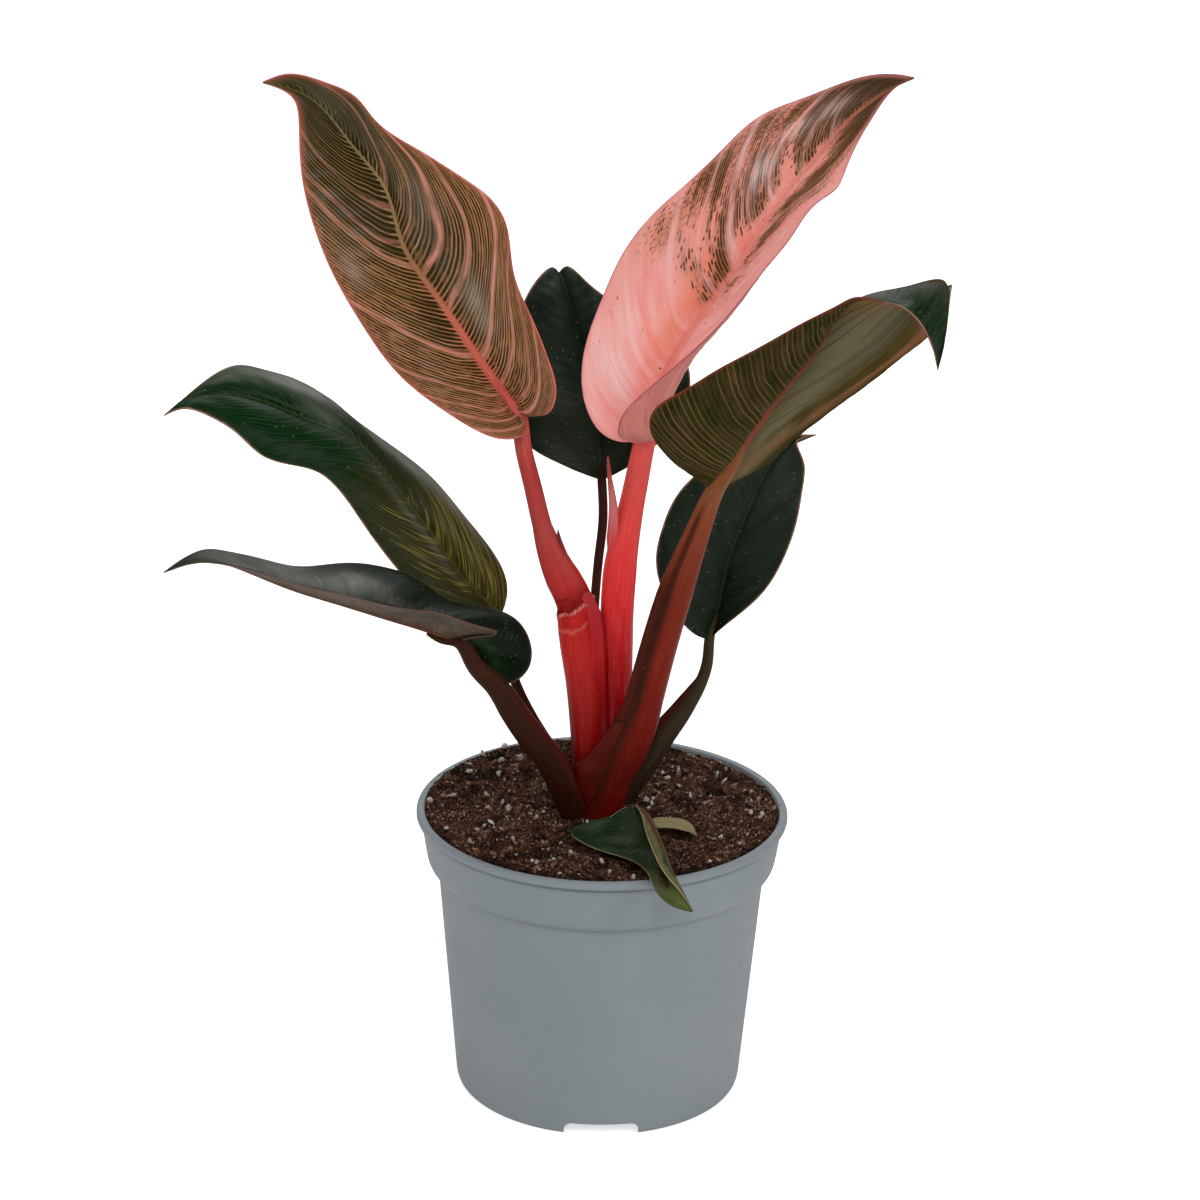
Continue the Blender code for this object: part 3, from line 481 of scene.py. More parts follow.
# what each blade shows beyond its outline
# spots: place along and across, reach along and across, amount
# The spots of painted sheen give pale shine; on leaf_2 and on the folded leaf's underside the same spots give a
# real tint.
leafTouches = dict(
    leaf_1=dict(
        sweep=(0.24, 0.2, 2.8, 1.5), darkBase=0.28, blushBase=0.12,
        dark=(
            (1.0, 0.5, 0.2, 0.6, 0.9), (0.8, 0.5, 0.12, 0.6, 0.35), (0.71, 0.68, 0.06, 0.14, 0.6),
            (0.66, 0.56, 0.05, 0.06, 0.5), (0.46, 0.58, 0.06, 0.08, 0.5), (0.4, 0.62, 0.04, 0.1, 0.4),
            (0.6, 0.3, 0.12, 0.2, 0.25), (0.45, 0.3, 0.12, 0.15, 0.2)),
        blush=((0.1, 0.5, 0.16, 0.6, 0.55), (0.45, 0.05, 0.25, 0.12, 0.35), (0.45, 0.98, 0.3, 0.1, 0.4)),
        bloom=(
            (0.43, 0.34, 0.04, 0.06, 0.9), (0.375, 0.32, 0.05, 0.06, 0.8), (0.58, 0.89, 0.04, 0.05, 0.9),
            (0.62, 0.2, 0.06, 0.07, 0.5), (0.88, 0.4, 0.04, 0.2, 0.3))),
    leaf_2=dict(
        sweep=(0.23, 0.18, 1.7, 1.75), darkBase=0.0,
        dark=(
            (0.78, 0.9, 0.1, 0.1, 0.41), (0.62, 0.93, 0.08, 0.08, 0.37), (0.6, 0.85, 0.07, 0.09, 0.37),
            (0.47, 0.9, 0.06, 0.07, 0.31), (0.86, 0.8, 0.05, 0.12, 0.55), (0.807, 0.71, 0.04, 0.1, 0.52),
            (0.79, 0.6, 0.035, 0.07, 0.55), (0.778, 0.53, 0.03, 0.03, 0.37), (0.72, 0.8, 0.06, 0.1, 0.41),
            (0.71, 0.7, 0.05, 0.07, 0.41), (0.69, 0.59, 0.06, 0.07, 0.37), (0.65, 0.75, 0.05, 0.08, 0.37),
            (0.63, 0.64, 0.05, 0.07, 0.37), (0.595, 0.71, 0.04, 0.08, 0.33), (0.52, 0.545, 0.045, 0.05, 0.59),
            (0.495, 0.68, 0.04, 0.14, 0.3), (0.467, 0.54, 0.035, 0.04, 0.33), (0.55, 0.6, 0.04, 0.07, 0.37),
            (0.325, 0.94, 0.04, 0.04, 0.22), (0.81, 0.2, 0.08, 0.14, 0.52), (0.75, 0.27, 0.07, 0.12, 0.52),
            (0.7, 0.32, 0.07, 0.12, 0.44), (0.64, 0.36, 0.08, 0.12, 0.37), (0.56, 0.42, 0.07, 0.07, 0.31),
            (0.49, 0.41, 0.07, 0.07, 0.26), (0.98, 0.5, 0.12, 0.9, 1.7), (0.93, 0.75, 0.05, 0.2, 0.44),
            (0.92, 0.25, 0.06, 0.2, 0.52), (0.55, 0.97, 0.3, 0.06, 0.26), (0.7, 0.8, 0.24, 0.3, 0.19),
            (0.57, 0.66, 0.17, 0.22, 0.15), (0.66, 0.15, 0.25, 0.2, 0.15), (0.38, 0.75, 0.2, 0.2, 0.09)),
        # painted highlights: white lines and patches where the leaf shines
        blush=(
            (0.2, 0.7, 0.07, 0.1, 0.9), (0.25, 0.85, 0.06, 0.08, 0.8), (0.7, 0.72, 0.035, 0.07, 0.85),
            (0.86, 0.77, 0.03, 0.08, 0.8), (0.79, 0.79, 0.03, 0.05, 0.8)),
        bloom=(
            (0.42, 0.58, 0.1, 0.07, 0.9), (0.3, 0.62, 0.1, 0.1, 0.4), (0.62, 0.9, 0.2, 0.06, 0.4),
            (0.6, 0.55, 0.06, 0.06, 0.5), (0.52, 0.64, 0.05, 0.08, 0.5), (0.68, 0.66, 0.05, 0.06, 0.4))),
    leaf_3=dict(
        bloom=(
            (0.75, 0.7, 0.14, 0.1, 0.25), (0.45, 0.75, 0.13, 0.14, 0.8), (0.22, 0.8, 0.1, 0.14, 0.6),
            (0.2, 0.4, 0.12, 0.14, 0.5))),
    leaf_4=dict(
        # the wash spots here paint sheen on the underside, near the midrib of the right half
        face=1, sweep=(0.6, 0.01, 1.1, 1.6), blush=((0.3, 0.4, 0.4, 0.09, 1.0), (0.75, 0.3, 0.2, 0.14, 0.9)),
        dark=(
            (0.33, 0.4, 0.06, 0.03, 0.6), (0.4, 0.33, 0.06, 0.045, 0.8), (0.48, 0.26, 0.06, 0.045, 0.8),
            (0.56, 0.2, 0.06, 0.045, 0.8), (0.63, 0.14, 0.06, 0.05, 0.8)),
        bloom=(
            (0.78, 0.6, 0.05, 0.3, 0.8), (0.22, 0.41, 0.06, 0.05, 0.6), (0.31, 0.34, 0.06, 0.05, 0.8),
            (0.4, 0.26, 0.06, 0.05, 0.9), (0.49, 0.18, 0.06, 0.05, 1.0), (0.57, 0.11, 0.06, 0.05, 1.0),
            (0.65, 0.04, 0.06, 0.05, 1.0), (0.72, 0.02, 0.05, 0.05, 1.0), (0.74, 0.45, 0.04, 0.1, 0.5),
            (0.85, 0.54, 0.04, 0.12, 0.6))),
    leaf_5=dict(bloom=((0.75, 0.3, 0.3, 0.3, 0.6), (0.45, 0.75, 0.2, 0.15, 0.25), (1.0, 0.5, 0.03, 1.0, 0.8))),
    leaf_6=dict(
        darkBase=0.1, blushBase=0.15, dark=((0.9, 0.6, 0.26, 0.6, 1.0), (0.7, 0.9, 0.15, 0.3, 0.6)),
        blush=((0.18, 0.25, 0.22, 0.3, 1.3), (0.35, 0.7, 0.25, 0.3, 0.6)),
        bloom=(
            (0.7, 0.1, 0.09, 0.15, 1.2), (0.58, 0.06, 0.11, 0.12, 1.3), (0.42, 0.03, 0.13, 0.12, 1.3),
            (0.25, 0.0, 0.12, 0.08, 0.9), (0.82, 0.1, 0.06, 0.1, 0.5), (0.4, 0.58, 0.2, 0.05, 0.4),
            (0.69, 0.42, 0.035, 0.12, 0.55))),
    leaf_7=dict(
        shift=0.65,
        blush=(
            (0.23, 0.34, 0.02, 0.05, 1.0), (0.2, 0.27, 0.02, 0.05, 1.0), (0.165, 0.19, 0.02, 0.05, 1.0),
            (0.14, 0.1, 0.02, 0.05, 0.8)),
        dark=((0.05, 0.5, 0.1, 1.0, 1.0), (0.35, 0.9, 0.12, 0.3, 0.8), (0.62, 0.92, 0.1, 0.2, 0.4)),
        bloom=(
            (0.8, 0.25, 0.13, 0.4, 1.0), (0.62, 0.36, 0.06, 0.14, 0.8), (0.56, 0.3, 0.05, 0.07, 0.5),
            (0.49, 0.38, 0.06, 0.06, 0.4))),
    leaf_scrap=dict(shift=0.65),
    old_leaf=dict(
        face=1, shift=0.65, dark=((0.82, 0.71, 0.05, 0.1, 1.6),), blush=((1.0, 0.5, 0.2, 0.6, 1.0),),
        bloom=(
            (0.62, 0.7, 0.08, 0.12, 0.7), (0.4, 0.75, 0.05, 0.08, 0.6), (0.3, 0.6, 0.1, 0.1, 0.4),
            (0.25, 0.85, 0.06, 0.06, 0.5))))

# sizes in millimetres, waves per blade, and where the rows and the points across them lie
# sweep: how far side veins bend right and left of the midrib, and the power of each bend
blade = dict(rows=156, thickness=0.5, ribHeight=1.6, ribWidth=1.5, start=0.03, end=0.997, spread=0.035,
             gather=1.35, drawnBack=0.1, swell=0.35, pleats=26, pleat=0.07, groove=0.35, grooveWidth=1.1,
             sweep=(0.19, 0.19, 1.7, 1.7), veinSpan=1.9, veinStart=-0.9,
             across=(0, 0.012, 0.03, 0.05, 0.08, 0.12, 0.17, 0.23, 0.3, 0.38, 0.46, 0.54, 0.62, 0.7, 0.78,
                     0.86, 0.93, 0.975, 1.0))


def bladeRows(leaf, shares, across):
    # rows of points from base to tip, each from the right margin to the left
    lobes, spread, ribRail = leaf["lobes"], blade["spread"], leaf["rib"]
    fan = np.clip((shares - spread) / (lobes - spread), 0, 1)
    root = spread * fan + (1 - spread) * np.clip((shares - lobes) / (1 - lobes), 0, 1) ** blade["gather"]
    ribLine = curveThrough(ribRail, root)
    ahead, back = (curveThrough(ribRail, np.clip(root + step, 0, 1)) for step in (0.01, -0.01))
    along = unit(ahead - back)
    middle = len(across) - 1
    rows = np.zeros((len(shares), 2 * middle + 1, 3))
    for side, rail, arch in ((1, "left", "archLeft"), (-1, "right", "archRight")):
        edge = curveThrough(ribRail[:1] + leaf[rail] + ribRail[-1:], shares)
        reach = edge - ribLine
        width = np.linalg.norm(reach, axis=1, keepdims=True)
        bow = side * np.cross(along, reach) * keyed(leaf[arch], shares)[:, None]
        pull = ribLine + reach / 2 + bow - along * width * blade["drawnBack"]
        for j, v in enumerate(across):
            rows[:, middle + side * j] = (1 - v) ** 2 * ribLine + 2 * v * (1 - v) * pull + v * v * edge
    return rows


def upperNormals(rows):
    # directions out of the upper face, evened out near the tip
    normals = np.cross(np.gradient(rows, axis=1), np.gradient(rows, axis=0))
    size = np.linalg.norm(normals, axis=2, keepdims=True)
    normals = normals / np.maximum(size, 1e-9) * (size > 1e-6)
    for _ in range(4):
        padded = np.pad(normals, ((1, 1), (1, 1), (0, 0)), mode="edge")
        normals = unit(2 * normals + padded[2:, 1:-1] + padded[:-2, 1:-1] + padded[1:-1, 2:]
                       + padded[1:-1, :-2] + 1e-9)
    count = len(rows)
    even = np.clip((np.arange(count) / (count - 1) - 0.8) / 0.18, 0, 1)[:, None, None]
    mean = unit(normals.sum(axis=1, keepdims=True))
    return unit(normals * (1 - even) + mean * even)


def painted(spots, u, v, base):
    # a soft mask from a few spots
    value = np.full(np.broadcast(u, v).shape, float(base))
    for along, across, reachAlong, reachAcross, amount in spots:
        value = value + amount * np.exp(-((u - along) / reachAlong) ** 2 - ((v - across) / reachAcross) ** 2)
    return np.clip(value, 0, 1)


def bladeObject(name, leaf, upper, under):
    across = np.array(blade["across"])
    shares = np.linspace(blade["start"], blade["end"], blade["rows"])
    rows = bladeRows(leaf, shares, across)
    count, wide = rows.shape[:2]
    middle = wide // 2
    steps = np.linalg.norm(np.diff(rows, axis=1), axis=2)
    run = np.concatenate([np.zeros((count, 1)), np.cumsum(steps, axis=1)], axis=1)
    fromRib = np.abs(run - run[:, middle:middle + 1])
    fromRim = np.minimum(run, run[:, -1:] - run)
    normals = upperNormals(rows) * leaf.get("face", -1)  # 1 where the rails were read from below
    u = np.broadcast_to(shares[:, None], (count, wide))
    v = np.broadcast_to((0.5 + 0.5 * np.concatenate([-across[:0:-1], across]))[None], (count, wide))
    # side veins leave the midrib and bend toward the tip: each keeps one value of vein
    right, left, bendRight, bendLeft = leaf.get("sweep", blade["sweep"])
    bent = np.where(v > 0.5, left, right) * np.abs(2 * v - 1) ** np.where(v > 0.5, bendLeft, bendRight)
    vein = (u - leaf["lobes"]) / (1 - leaf["lobes"]) - bent
    # slow swells along the blade, a faint pleat at each strong side vein, a groove over the midrib
    swell = blade["swell"]
    wave = (np.sin(u * 31 + v * 7 + swell * 9) * np.sin(v * 11 + u * 13 + 1.3) * swell
            + np.sin(u * 2 * math.pi * blade["pleats"]) * blade["pleat"])
    calm = np.clip(fromRib / 5, 0, 1) * np.clip(fromRim / 3, 0, 1)
    fade = np.clip((u - blade["start"]) / 0.04, 0, 1) * np.clip((1 - u) / 0.08, 0, 1)
    wave = wave * calm * fade
    groove = -blade["groove"] * np.exp(-(fromRib / blade["grooveWidth"]) ** 2) * fade
    rows = rows + normals * leaf.get("shift", 0.0)
    upperFace = rows + normals * (wave + groove)[..., None]
    taper = np.interp(shares, (0, 0.2, 0.75, 1), (0.3, 1, 0.25, 0.0))[:, None]
    ridge = blade["ribHeight"] * taper * np.exp(-(fromRib / (blade["ribWidth"] * (0.45 + 0.75 * taper))) ** 2)
    thin = blade["thickness"] * np.clip(0.55 + fromRim / 2.5, 0, 1)
    underFace = rows + normals * wave[..., None] - normals * (thin + ridge)[..., None]

    spots = np.concatenate([upperFace.reshape(-1, 3), underFace.reshape(-1, 3)]) * mm
    index = np.arange(count * wide).reshape(count, wide)
    top = np.stack([index[:-1, :-1], index[:-1, 1:], index[1:, 1:], index[1:, :-1]], axis=-1).reshape(-1, 4)
    low = top[:, ::-1] + count * wide
    border = np.concatenate([index[0], index[1:, -1], index[-1, -2::-1], index[-2:0:-1, 0]])
    after = np.roll(border, -1)
    rim = np.stack([after, border, border + count * wide, after + count * wide], axis=-1)
    mesh = bpy.data.meshes.new(name)
    mesh.from_pydata(spots.tolist(), [], np.concatenate([top, low, rim]).tolist())
    mesh.materials.append(upper)
    mesh.materials.append(under)
    kinds = np.concatenate([np.zeros(len(top)), np.ones(len(low) + len(rim))]).astype(np.int32)
    mesh.polygons.foreach_set("material_index", kinds)
    layers = dict(rib=fromRib, rim=fromRim, way=u)
    for label in ("blush", "dark", "bloom"):
        layers[label] = painted(leaf.get(label, ()), u, v, leaf.get(label + "Base", 0))
    for label, values in layers.items():
        layer = mesh.attributes.new(label, "FLOAT", "POINT")
        layer.data.foreach_set("value", np.tile(values.reshape(-1), 2).astype(np.float32))
    corners = np.zeros(len(mesh.loops), np.int32)
    mesh.loops.foreach_get("vertex_index", corners)
    place = (vein - blade["veinStart"]) / blade["veinSpan"]
    flat = np.stack([np.tile(place.reshape(-1), 2), np.tile(v.reshape(-1), 2)], axis=-1)[corners]
    mesh.uv_layers.new(name="veins").data.foreach_set("uv", flat.reshape(-1).astype(np.float32))
    outward(mesh)
    return newObject(name, mesh)


def strokes(position, entries):
    # a few broad pale veins: where they leave the midrib, half width, strength
    nothing = (0, 0, 0, 1)
    stops = [(0.0, nothing)]
    for place, half, amount in sorted(entries):
        spot, reach = (place - blade["veinStart"]) / blade["veinSpan"], half / blade["veinSpan"]
        stops += [(spot - reach, nothing), (spot, (amount,) * 3 + (1,)), (spot + reach, nothing)]
    return ramp(position, stops)


def bladeMaterial(name, look):
    # colours in order: flesh, washes, dark zones, dashes, side veins, broad streaks, margin, midrib, painted
    # highlight lines, painted sheen
    glossLow, glossHigh, specular = look["gloss"]
    made, tree, shader = newMaterial(name, look["flesh"][0], glossLow)
    uv = put(tree, "ShaderNodeUVMap", uv_map="veins").outputs[0]
    labels = ("rib", "rim", "way", "blush", "dark", "bloom")
    rib, rim, way, blush, dark, bloom = (attribute(tree, label) for label in labels)
    place = ownPlace(tree)
    count = look["veins"] * blade["veinSpan"]
    veins = useGroup(tree, veinGroup, {"UV": uv, "Count": count, "Sway": look["sway"],
                                       "Width": look["veinWidth"]})

    def streaks(vector, number, length, amount, soft):
        return useGroup(tree, streakGroup, {"UV": vector, "Count": number, "Length": length, "Soft": soft,
                                            "Amount": amount})

    number, length, least, most, streakShow, soft = look["broad"]
    broad = streaks(uv, number, length, between(blush, 0, 1, least, most), soft)
    mottle = streaks(scaled(uv, (1, 1, 1), (3.1, 1.7, 0)), count * 0.3, 5.0, 0.5, 0.2)
    thin = streaks(uv, count * look.get("fine", 1.3), 1.6, 0.5, 0.16)
    colour = blend(mottle["Mask"], look["flesh"][0], look["flesh"][1])
    washAndSheen = times(blush, look["wash"][0])
    # a wash of colour; on the folded leaf's underside the wash is painted sheen
    if "sheen" not in look:
        colour = blend(washAndSheen, colour, look["wash"][1])
    if "tint" in look:
        colour = blend(times(bloom, look["tint"][0]), colour, look["tint"][1])
    shown = times(dark, between(mottle["Field"], 0.3, 0.65, 0.55, 1.35))
    zone = between(shown, *look.get("zone", (0.2, 0.85)))
    colour = blend(times(zone, look["deep"][0]), colour, blend(zone, look["deep"][1], look["deep"][-1]))
    whole = times(broad["Mask"], streakShow)
    if "strokes" in look:
        parts = apart(uv)
        drift = cloudy(scaled(uv, (18, 4, 1), (5, 2, 0)), 1.0, 1)
        spot = plus(parts[0], between(drift, 0.2, 0.8, -0.007, 0.007))
        onLeft = between(parts[1], 0.49, 0.51)
        bars = blend(onLeft, strokes(spot, look["strokes"][0]), strokes(spot, look["strokes"][1]))
        worn = between(cloudy(scaled(uv, (12, 7, 1), (1, 8, 0)), 1.0, 2), 0.3, 0.55, 0.35, 1)
        whole = plus(whole, times(bars, worn), clamp=True)
    length, least, most, width, dashShow = look["dash"]
    amount = plus(between(dark, 0, 1, least, most), between(mottle["Field"], 0.3, 0.7, -0.07, 0.07))
    wires = {"UV": uv, "Cell": veins["Cell"], "Off": veins["Off"], "Amount": amount, "Fill": width}
    net, runs = [useGroup(tree, dashGroup, dict(wires, Length=length * size))["Mask"] for size in (1.0, 0.26)]
    reach = look.get("net", 4)
    nearRim = between(rim, reach * 1.8, reach * 0.6)
    dashes = plus(times(net, nearRim), times(runs, spare(nearRim)))
    colour = blend(times(dashes, dashShow, spare(whole)), colour, look["dashTone"])
    patchy = between(broad["Field"], 0.3, 0.6, 0.45, 1)
    strength = times(between(veins["Random"], 0, 1, look["veinLeast"], 1), times(patchy, look["veinShow"]),
                     between(zone, 0, 1, 1, look.get("veinDeep", 1)))
    colour = blend(times(veins["Line"], strength), colour, ramp(way, look["veinTones"]))
    colour = blend(whole, colour, blend(mottle["Field"], look["streak"][0], look["streak"][1]))
    if "tip" in look:
        first, full, tipTone = look["tip"]
        colour = blend(between(way, first, full, 0, 0.85), colour, tipTone)
    ragged = plus(rim, times(cloudy(scaled(uv, (60, 6, 1)), 1.0, 2), 0.8))
    line, lineShow, wash, washShow = look["margin"]
    colour = blend(times(between(ragged, wash, 0.4), washShow), colour, look["marginWash"])
    colour = blend(times(between(ragged, line, line * 0.6), lineShow), colour, look["marginTone"])
    atBase, atTip, ribShow = look["rib"]
    ribWidth = between(way, 0.1, 0.9, atBase, atTip)
    feathered = minus(rib, times(veins["Line"], veins["Random"], look.get("feather", 0.5)))
    onRib = times(between(feathered, ribWidth, times(ribWidth, 0.35)), ribShow)
    colour = blend(onRib, colour, ramp(way, look["ribTones"]))
    if "sheen" in look:
        # painted highlight: fine pale lines where the leaf shines
        sheenLines = times(washAndSheen, between(thin["Mask"], 0, 1, 1 - look["sheen"], 1))
        colour = blend(times(sheenLines, between(cloudy(place, 90, 2), 0.3, 0.6, 0.5, 1)), colour, look["wash"][1])
    # painted sheen: pale grey shine laid on as colour where the spots ask for it
    if "bloom" in look:
        sheenMask = times(bloom, between(cloudy(place, 60, 2), 0.3, 0.7, 0.6, 1),
                      between(thin["Mask"], 0, 1, 0.75, 1))
        colour = blend(times(sheenMask, look["bloom"][0]), colour, look["bloom"][1])
    specks = useGroup(tree, speckleGroup, {"Vector": place, "Scale": look.get("speckSize", 480.0),
                                           "Amount": look.get("specks", 0.02)})
    colour = blend(times(specks["Mask"], look.get("speckShow", 0.4)), colour, (190, 185, 165))
    fill(shader.inputs["Base Color"], colour)
    waxy = cloudy(scaled(uv, (count * 0.12, 4, 1), (7, 2, 0)), 1.0, 3, 0.6)
    fill(shader.inputs["Roughness"], between(waxy, 0.3, 0.7, glossLow, glossHigh))
    shader.inputs["Specular IOR Level"].default_value = specular
    veinRelief, grainRelief, waxRelief = look["relief"]
    height = plus(times(between(veins["Off"], 0, 1), veinRelief), times(cloudy(place, 1100, 2), grainRelief))
    bump(shader, plus(height, times(waxy, waxRelief)), 0.001)
    return made


# wash, tint, painted sheen: strength, tone; the wash is the tone of painted highlights on the pink leaf and of
# painted sheen on the folded leaf's underside; deep: strength, tones of the edge and the heart of a dark zone
# broad: count, length, amount where blush is 0 and 1, strength, softness; strokes: right half, left half
# dash: length, amount where dark is 0 and 1, width in its row, strength
# margin: line width mm, strength, wash width mm, strength; rib: width mm at base and tip, strength
# gloss: roughness low and high, specular level; relief: of the rows between veins, the grain and the wax
stripedUpper = dict(
    flesh=((88, 68, 24), (128, 92, 44)), veins=72, sway=1.5, veinWidth=0.46, veinLeast=0.3, veinShow=1.0,
    veinTones=((0.1, (208, 132, 98)), (0.5, (202, 142, 104)), (0.75, (172, 140, 98)), (0.95, (128, 118, 80))),
    wash=(0.45, (190, 112, 84)), deep=(0.9, (70, 56, 16), (38, 36, 10)), bloom=(0.5, (166, 154, 138)),
    streak=((214, 132, 112), (228, 156, 138)), broad=(75, 2.4, 0.16, 0.42, 0.55, 0.05),
    strokes=(
        (
            (0.205, 0.02, 1.0), (0.36, 0.013, 0.9), (0.465, 0.014, 0.95), (0.09, 0.013, 0.8),
            (-0.02, 0.012, 0.6), (0.56, 0.007, 0.5), (0.68, 0.011, 0.7), (-0.1, 0.018, 0.7)),
        (
            (0.23, 0.014, 0.95), (0.06, 0.012, 0.85), (0.55, 0.009, 0.75), (0.5, 0.009, 0.8),
            (0.64, 0.009, 0.6), (-0.04, 0.01, 0.7), (-0.12, 0.012, 0.8), (-0.19, 0.014, 0.8))),
    dash=(40, 0.52, 0.72, 0.6, 0.92), dashTone=(44, 34, 4), feather=2.6, rib=(2.8, 0.45, 0.95),
    ribTones=(
        (0.08, (204, 82, 72)), (0.2, (222, 112, 98)), (0.42, (216, 124, 100)), (0.58, (166, 118, 82)),
        (0.74, (170, 146, 100)), (0.9, (104, 98, 54))),
    margin=(1.0, 0.95, 3.4, 0.4), marginTone=(226, 122, 116), marginWash=(196, 104, 84),
    gloss=(0.24, 0.4, 0.16), relief=(-0.02, 0.015, 0.35), specks=0.006, veinDeep=0.65)
pinkUpper = dict(
    flesh=((250, 158, 150), (255, 190, 186)), zone=(0.1, 1.05), veins=112, sway=1.8, veinWidth=0.42,
    veinLeast=0.1, veinShow=0.6,
    veinTones=(
        (0.1, (250, 190, 184)), (0.45, (240, 156, 144)), (0.75, (226, 162, 140)), (0.88, (190, 140, 108)),
        (0.96, (96, 68, 40))),
    # the wash tone here is the colour of painted highlight lines
    wash=(0.9, (240, 216, 214)), sheen=0.9, fine=0.8, veinDeep=0.7, tint=(0.75, (236, 122, 80)),
    deep=(0.96, (236, 136, 88), (124, 84, 36)), streak=((250, 166, 162), (255, 206, 202)),
    broad=(70, 2.4, 0.34, 0.5, 0.4, 0.06), tip=(0.78, 0.93, (58, 44, 24)),
    strokes=(
        ((0.3, 0.03, 0.6), (0.48, 0.018, 0.5), (0.585, 0.012, 0.5), (0.84, 0.008, 0.5)),
        (
            (0.16, 0.018, 0.7), (0.32, 0.018, 0.85), (0.42, 0.01, 0.6), (0.515, 0.02, 0.9),
            (0.585, 0.008, 0.7), (0.66, 0.011, 0.9), (0.745, 0.007, 0.7), (0.82, 0.005, 0.5),
            (0.89, 0.004, 0.3))),
    dash=(84, 0.18, 0.61, 0.62, 0.9), dashTone=(66, 34, 14), feather=1.0, net=9, rib=(2.0, 1.0, 0.7),
    ribTones=(
        (0.1, (226, 122, 104)), (0.35, (236, 146, 132)), (0.7, (240, 150, 136)), (0.88, (204, 122, 96)),
        (1, (90, 62, 34))),
    margin=(0.7, 0.8, 2.5, 0.5), marginTone=(146, 76, 100), marginWash=(236, 142, 140),
    gloss=(0.3, 0.46, 0.07), relief=(-0.02, 0.015, 0.35), specks=0.003)
greenUpper = dict(
    flesh=((10, 34, 12), (20, 44, 18)), veins=52, sway=1.4, veinWidth=0.16, veinLeast=0.02, veinShow=0.55,
    veinTones=((0.1, (108, 102, 56)), (0.5, (98, 112, 80)), (0.8, (70, 96, 60)), (1, (50, 70, 36))),
    wash=(0.85, (62, 54, 18)), deep=(0.85, (0, 42, 10)), bloom=(0.75, (136, 138, 130)),
    streak=((116, 106, 44), (140, 126, 58)), broad=(150, 3.0, 0.16, 0.46, 0.8, 0.05),
    dash=(18, 0.3, 0.45, 0.5, 0.5), dashTone=(6, 20, 8), feather=1.2, rib=(1.5, 0.6, 0.6),
    ribTones=((0.1, (84, 74, 34)), (0.5, (70, 80, 40)), (1, (36, 60, 28))), margin=(1.1, 0.9, 2.4, 0.3),
    marginTone=(164, 124, 106), marginWash=(70, 56, 38), gloss=(0.3, 0.5, 0.09), relief=(-0.03, 0.02, 0.3),
    specks=0.035, speckShow=0.24, speckSize=900.0)
stripedUnder = dict(
    flesh=((34, 32, 4), (58, 44, 14)), veins=42, sway=1.6, veinWidth=0.3, veinLeast=0.25, veinShow=0.75,
    veinTones=((0.1, (134, 112, 72)), (0.6, (118, 102, 66)), (1, (80, 74, 46))), wash=(0.9, (98, 96, 70)),
    deep=(0.7, (66, 54, 18), (44, 34, 10)), streak=((92, 64, 36), (110, 84, 50)),
    broad=(46, 2.5, 0.32, 0.42, 0.6, 0.08), dash=(14, 0.4, 0.56, 0.66, 0.5), dashTone=(30, 26, 6),
    rib=(1.6, 0.8, 0.95),
    ribTones=((0.1, (160, 84, 56)), (0.3, (138, 60, 46)), (0.8, (110, 58, 40)), (1, (80, 62, 42))),
    margin=(1.2, 0.9, 3.0, 0.5), marginTone=(148, 72, 62), marginWash=(104, 58, 38), gloss=(0.38, 0.56, 0.06),
    relief=(0.03, 0.02, 0.15), specks=0.01)
pinkUnder = dict(
    flesh=((206, 122, 114), (218, 136, 126)), veins=60, sway=1.0, veinWidth=0.4, veinLeast=0.2, veinShow=0.35,
    veinTones=((0.1, (182, 98, 90)), (1, (170, 96, 84))), wash=(0.5, (216, 142, 132)),
    deep=(0.5, (150, 92, 74)), streak=((222, 150, 140), (226, 158, 148)), broad=(40, 2, 0.35, 0.5, 0.5, 0.08),
    dash=(20, 0.3, 0.5, 0.6, 0.35), dashTone=(150, 90, 74), rib=(2.3, 1.0, 0.9),
    ribTones=((0.1, (206, 92, 86)), (1, (196, 116, 100))), margin=(0.9, 0.8, 2.0, 0.3),
    marginTone=(168, 82, 92), marginWash=(190, 106, 104), gloss=(0.38, 0.56, 0.15), relief=(0.03, 0.02, 0.15),
    specks=0.004)
greenUnder = dict(
    flesh=((60, 60, 42), (82, 76, 58)), veins=50, sway=1.2, veinWidth=0.3, veinLeast=0.2, veinShow=0.5,
    veinTones=((0.1, (118, 108, 80)), (1, (98, 92, 68))), wash=(0.5, (104, 92, 80)), deep=(0.6, (36, 40, 26)),
    streak=((104, 92, 76), (112, 100, 84)), broad=(50, 2.2, 0.3, 0.45, 0.5, 0.08),
    dash=(16, 0.36, 0.5, 0.6, 0.4), dashTone=(44, 38, 26), rib=(2.3, 1.0, 0.9),
    ribTones=((0.1, (104, 58, 42)), (1, (88, 74, 52))), margin=(1.0, 0.85, 2.0, 0.35),
    marginTone=(136, 88, 80), marginWash=(96, 70, 58), gloss=(0.38, 0.56, 0.15), relief=(0.03, 0.02, 0.15),
    specks=0.01)
fadedUpper = dict(
    flesh=((116, 108, 72), (140, 130, 92)), veins=20, sway=1.0, veinWidth=0.4, veinLeast=0.3, veinShow=0.6,
    veinTones=((0.1, (168, 150, 110)), (1, (150, 132, 96))), wash=(0.4, (112, 122, 60)),
    deep=(0.6, (96, 74, 46)), streak=((120, 128, 70), (134, 140, 84)), broad=(14, 3, 0.3, 0.5, 0.5, 0.08),
    dash=(8, 0.35, 0.5, 0.6, 0.5), dashTone=(86, 66, 40), rib=(0.7, 0.4, 0.9),
    ribTones=((0.1, (150, 132, 90)), (1, (140, 128, 88))), margin=(0.5, 0.7, 1.5, 0.3),
    marginTone=(150, 126, 92), marginWash=(140, 116, 78), gloss=(0.55, 0.75, 0.3), relief=(0.05, 0.05, 0.4))


